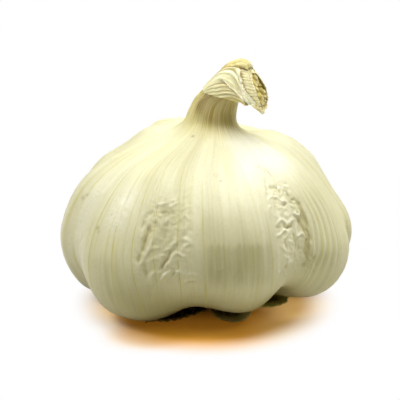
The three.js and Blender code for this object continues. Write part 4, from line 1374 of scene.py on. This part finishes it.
def dried_husk(name, light, dark, ridge, roughness):
    """Innermost leaves dried brittle: brown-gold in their hollows, straw on the ridges as a painted
    highlight.
    """
    material, tree = new_finish(name)
    fine = grain_pattern(tree, 3, 0.4, 3.0)
    broad = grain_pattern(tree, 1.5, 1.3, 3.0)
    colour = coated(tree, light, [
        (dark, (broad, 0.42, 0.62)),
        (dark, (fine, 0.5, 0.7), 0.4),
        # painted highlight on the crests of the crumples
        (ridge, "ridge", 0.85),
        ("#fbf3c6", "rim", 0.8),
    ])
    return finish_leaf(material, tree, colour, roughness, fine, 0.06)


def tan_scrap():
    """A scrap of old skin dried on top: pale tan, with brown-gold painted shade in its folds and along
    its lower edge.
    """
    material, tree = new_finish("tan_scrap")
    fine = grain_pattern(tree, 2, 0.4, 3.0)
    broad = grain_pattern(tree, 1.5, 1.2)
    colour = coated(tree, "#e8de9c", [
        ("#d0c47a", (fine, 0.45, 0.72, 0.0, 0.7)),
        ("#dace8e", (broad, 0.5, 0.66, 0.0, 0.7)),
        # painted shade in the folds, then a painted shadow line along the lower edge
        ("#a8902e", "crease_shade", 0.7),
        ("#b89840", "rim", 0.7),
    ])
    return finish_leaf(material, tree, colour, 0.55, fine, 0.06)


def corky_roots():
    """Root plate and stubs: dead corky tissue, brown flecked paler, no gloss."""
    material, tree = new_finish("corky_roots")
    # Lumps 1.6 mm apart, and a grain at 0.35 mm that is finer on real roots.
    place = add(tree, "ShaderNodeTexCoord", out="Object")
    sockets = {"Vector": place, "Scale": 1 / (1.6 * MM), "Detail": 4.0}
    lumps = add(tree, "ShaderNodeTexNoise", sockets, out="Fac")
    sockets = {"Vector": place, "Scale": 1 / (0.35 * MM), "Detail": 2.0}
    fine = add(tree, "ShaderNodeTexNoise", sockets, out="Fac")
    colour = coated(tree, "#6d5630", [
        ("#3c2d14", (lumps, 0.4, 0.6)),
        ("#b7a272", (fine, 0.5, 0.7), 0.7),
    ])
    return finish_leaf(material, tree, colour, 0.85, fine, 0.12)


def old_skin(name, pale, deep, rim, roughness):
    """Torn old skin under the bulb: thin, stained by soil, streaked along the leaf."""
    material, tree = new_finish(name)
    fine = grain_pattern(tree, 6, 0.5, 3.0)
    broad = grain_pattern(tree, 1.5, 2.4)
    colour = coated(tree, pale, [
        (deep, (broad, 0.38, 0.62)),
        (deep, (fine, 0.45, 0.65), 0.6),
        # a paler rim: partly the dry edge itself, partly painted light where the edge catches it under
        # the bulb
        (rim, "rim", 0.9),
    ])
    return finish_leaf(material, tree, colour, roughness, fine, 0.06)


# ---- Build ----

dress(new_piece("bulb_skin", skin_mesh()), drawn_papery_skin(), "bulb_skin", "bulb")
dress(
    merged("outer_leaf_sheath", [pleated_layer(), folded_leaf()]), bleached_leaf(),
    "outer_sheath", "outer_sheath",
)
dress(
    new_piece("middle_leaf_sheath", middle_sheath_mesh()), wrinkled_leaf(),
    "middle_sheath", "middle_sheath",
)
dress(
    new_piece("inner_leaf_sheath", inner_sheath_mesh()),
    dried_husk("golden_husk", "#ecdd8c", "#cbb350", "#fff4c0", 0.5), "inner_sheath", "inner_sheath",
)
dress(
    new_piece("neck_heart", heart_leaf_mesh()),
    dried_husk("brown_gold_heart", "#dccb70", "#a58e34", "#fff6c8", 0.55), "heart_leaf", "heart_leaf",
)
dress(new_piece("crumpled_scrap", top_scrap_mesh()), tan_scrap(), "top_scrap", "top_scrap")
dress(roots_and_plate(), corky_roots(), "root_plate", "root_plate")
for shape, finish, slot, node in TORN_SKINS:
    dress(new_piece(shape[0], base_skin_mesh(*shape)), old_skin(*finish), slot, node)


# ---- Floor, light and camera ----

def measured(tree, place, middle, stretch=(1, 1, 1)):
    """Distance over the floor from a middle, in metres, with each axis stretched."""
    offset = add(tree, "ShaderNodeVectorMath", {0: place, 1: middle}, operation="SUBTRACT")
    offset = add(tree, "ShaderNodeVectorMath", {0: offset, 1: stretch}, operation="MULTIPLY")
    return add(tree, "ShaderNodeVectorMath", {0: offset}, out="Value", operation="LENGTH")


def seen_by_eye(tree, rays):
    """1 for rays that see a surface as the eye does, and 0 for those that carry light."""
    total = 0.0
    for ray in rays:
        kind = add(tree, "ShaderNodeLightPath", out=ray)
        total = add(tree, "ShaderNodeMath", {0: total, 1: kind}, operation="ADD")
    return total


# The warm tint of the board under the bulb, in metres: its middle, how much faster it
# changes sideways than to the front, and from where to where it turns paler sideways,
# starts to glow and fades into white.
TINT_MIDDLE = (0.0, -0.0046, 0.0)
TINT_SQUEEZE = 1.18
TINT_PALER = (0.008, 0.021)
TINT_GLOW = (0.003, 0.016)
TINT_FADE = (0.0235, 0.0355)

# Spots on the board, the shades painted shadows and the glows painted light: middle, and radii
# where each is full and where it ends, in metres.
FRONT_SHADE = ((-0.0125, -0.0265, 0.0), 0.002, 0.013)
VALLEY_SHADE = ((0.0085, -0.0055, 0.0), 0.002, 0.0095)
RIGHT_GLOW = ((0.0215, -0.0095, 0.0), 0.003, 0.012)
LEFT_GLOW = ((-0.0205, -0.0105, 0.0), 0.002, 0.010)


def pale_floor():
    """Painted studio board: matt, and plain white away from the bulb.

    Close to the bulb the paint is a warm tan with a faint glow, so that the shadow on
    it is orange. Only the eye sees that: the light it throws back is from a pale board.
    """
    material, tree = new_finish("pale_floor")
    place = add(tree, "ShaderNodeTexCoord", out="Object")
    seen = seen_by_eye(tree, ("Is Camera Ray", "Is Glossy Ray", "Is Transmission Ray"))
    distance = measured(tree, place, TINT_MIDDLE, (TINT_SQUEEZE, 1, 1))
    sideways = measured(tree, place, TINT_MIDDLE, (TINT_SQUEEZE, 0, 0))
    front, valley, right, left = [
        amount(tree, (measured(tree, place, middle), full, none, 1.0, 0.0))
        for middle, full, none in (FRONT_SHADE, VALLEY_SHADE, RIGHT_GLOW, LEFT_GLOW)
    ]
    board = coated(tree, "#f5b650", [
        ("#f6d898", (sideways, *TINT_PALER)),
        ("#c08a24", front, 0.8),
        ("#b98430", valley, 0.7),
    ])
    surface = add(tree, "ShaderNodeBsdfDiffuse", {"Color": coated(tree, "#bdb8a3", [(board, seen)])})
    spots = add(tree, "ShaderNodeMath", {0: right, 1: amount(tree, left, 0.45)}, operation="ADD")
    glows = [
        ("#ffa632", amount(tree, (distance, *TINT_GLOW), 0.14, seen)),
        ("#ffd890", amount(tree, spots, 0.3, seen)),
    ]
    for code, strength in glows:
        glow = add(tree, "ShaderNodeEmission", {"Color": paint(code), "Strength": strength})
        surface = add(tree, "ShaderNodeAddShader", {0: surface, 1: glow})
    white = add(tree, "ShaderNodeEmission", {"Color": (1, 1, 1, 1), "Strength": 1.0})
    away = amount(tree, (distance, *TINT_FADE), (front, 0.0, 1.0, 1.0, 0.35), seen)
    surface = add(tree, "ShaderNodeMixShader", {0: away, 1: surface, 2: white})
    add(tree, "ShaderNodeOutputMaterial", {"Surface": surface})
    return material


FLOOR_HALF = 1.5  # metres from its middle to a side


def lay_floor():
    """The board that the bulb stands on, at the height of the frame's lowest point."""
    corners = [(x * FLOOR_HALF, y * FLOOR_HALF, 0) for x, y in ((-1, -1), (1, -1), (1, 1), (-1, 1))]
    mesh = bpy.data.meshes.new("floor")
    mesh.from_pydata(corners, [], [(0, 1, 2, 3)])
    mesh.materials.append(pale_floor())
    floor = new_piece("floor", mesh)
    floor.location.z = cad_box[0][2]


def light_world(ambient):
    """A white world to the eye, and ambient light from all round for the bulb."""
    world = bpy.data.worlds.new("studio")
    world.use_nodes = True
    tree = world.node_tree
    tree.nodes.clear()
    seen = seen_by_eye(tree, ("Is Camera Ray", "Is Transmission Ray"))
    strength = add(tree, "ShaderNodeMix", {0: seen, 2: ambient, 3: 1.0}, data_type="FLOAT")
    back = add(tree, "ShaderNodeBackground", {"Color": (1, 1, 1, 1), "Strength": strength})
    add(tree, "ShaderNodeOutputWorld", {"Surface": back})
    bpy.context.scene.world = world


# Soft lamps: name, place and aim in metres, size in metres, watts and spread in degrees.
# The last is a narrow one that picks out the bend of the neck.
AIM = (0, 0, 0.02)
LAMPS = [
    ("overhead_softbox", (0.05, 0.02, 0.65), AIM, (0.5, 0.5), 3.25, 180.0),
    ("left_softbox", (-0.42, 0.0, 0.5), AIM, (0.22, 0.22), 1.72, 180.0),
    ("right_softbox", (0.35, -0.3, 0.5), AIM, (0.22, 0.22), 0.82, 180.0),
    ("back_softbox", (0.3, 0.3, 0.5), AIM, (0.3, 0.3), 1.75, 180.0),
    ("neck_spot", (-0.34, -0.32, 0.14), (0.011, -0.010, 0.055), (0.05, 0.03), 0.0026, 6.5),
]
AMBIENT = 0.04  # how bright the world is for the bulb, where white is 1


def hang_lamp(name, place, aim, size, watts, spread):
    """A soft lamp turned to its aim."""
    data = bpy.data.lights.new(name, "AREA")
    data.shape = "RECTANGLE"
    data.size, data.size_y = size
    data.energy = watts
    data.spread = math.radians(spread)
    lamp = bpy.data.objects.new(name, data)
    lamp.location = place
    lamp.rotation_euler = (Vector(aim) - Vector(place)).to_track_quat("-Z", "Y").to_euler()
    bpy.context.scene.collection.objects.link(lamp)


# The camera looks down at the target from the front, and aims a little to its left and
# above it. Lens and sensor are in mm.
VIEW_ELEVATION = 17.0
VIEW_DISTANCE = 480 * MM
VIEW_TARGET = Vector((0, 0, 20 * MM))
VIEW_LEFT, VIEW_UP = 1.32 * MM, 1.76 * MM
LENS, SENSOR = 196.4, 36.0


def set_camera():
    """A camera in front of the bulb and a little above it."""
    elevation = math.radians(VIEW_ELEVATION)
    forward = Vector((0, math.cos(elevation), -math.sin(elevation)))
    upward = Vector((0, math.sin(elevation), math.cos(elevation)))
    aim = VIEW_TARGET + Vector((-VIEW_LEFT, 0, 0)) + upward * VIEW_UP
    data = bpy.data.cameras.new("view")
    data.sensor_width = SENSOR
    data.lens = LENS
    camera = bpy.data.objects.new("view", data)
    camera.location = VIEW_TARGET - forward * VIEW_DISTANCE
    camera.rotation_euler = (aim - camera.location).to_track_quat("-Z", "Y").to_euler()
    bpy.context.scene.collection.objects.link(camera)
    bpy.context.scene.camera = camera


bpy.context.scene.view_settings.view_transform = "Standard"
lay_floor()
light_world(AMBIENT)
for lamp in LAMPS:
    hang_lamp(*lamp)
set_camera()
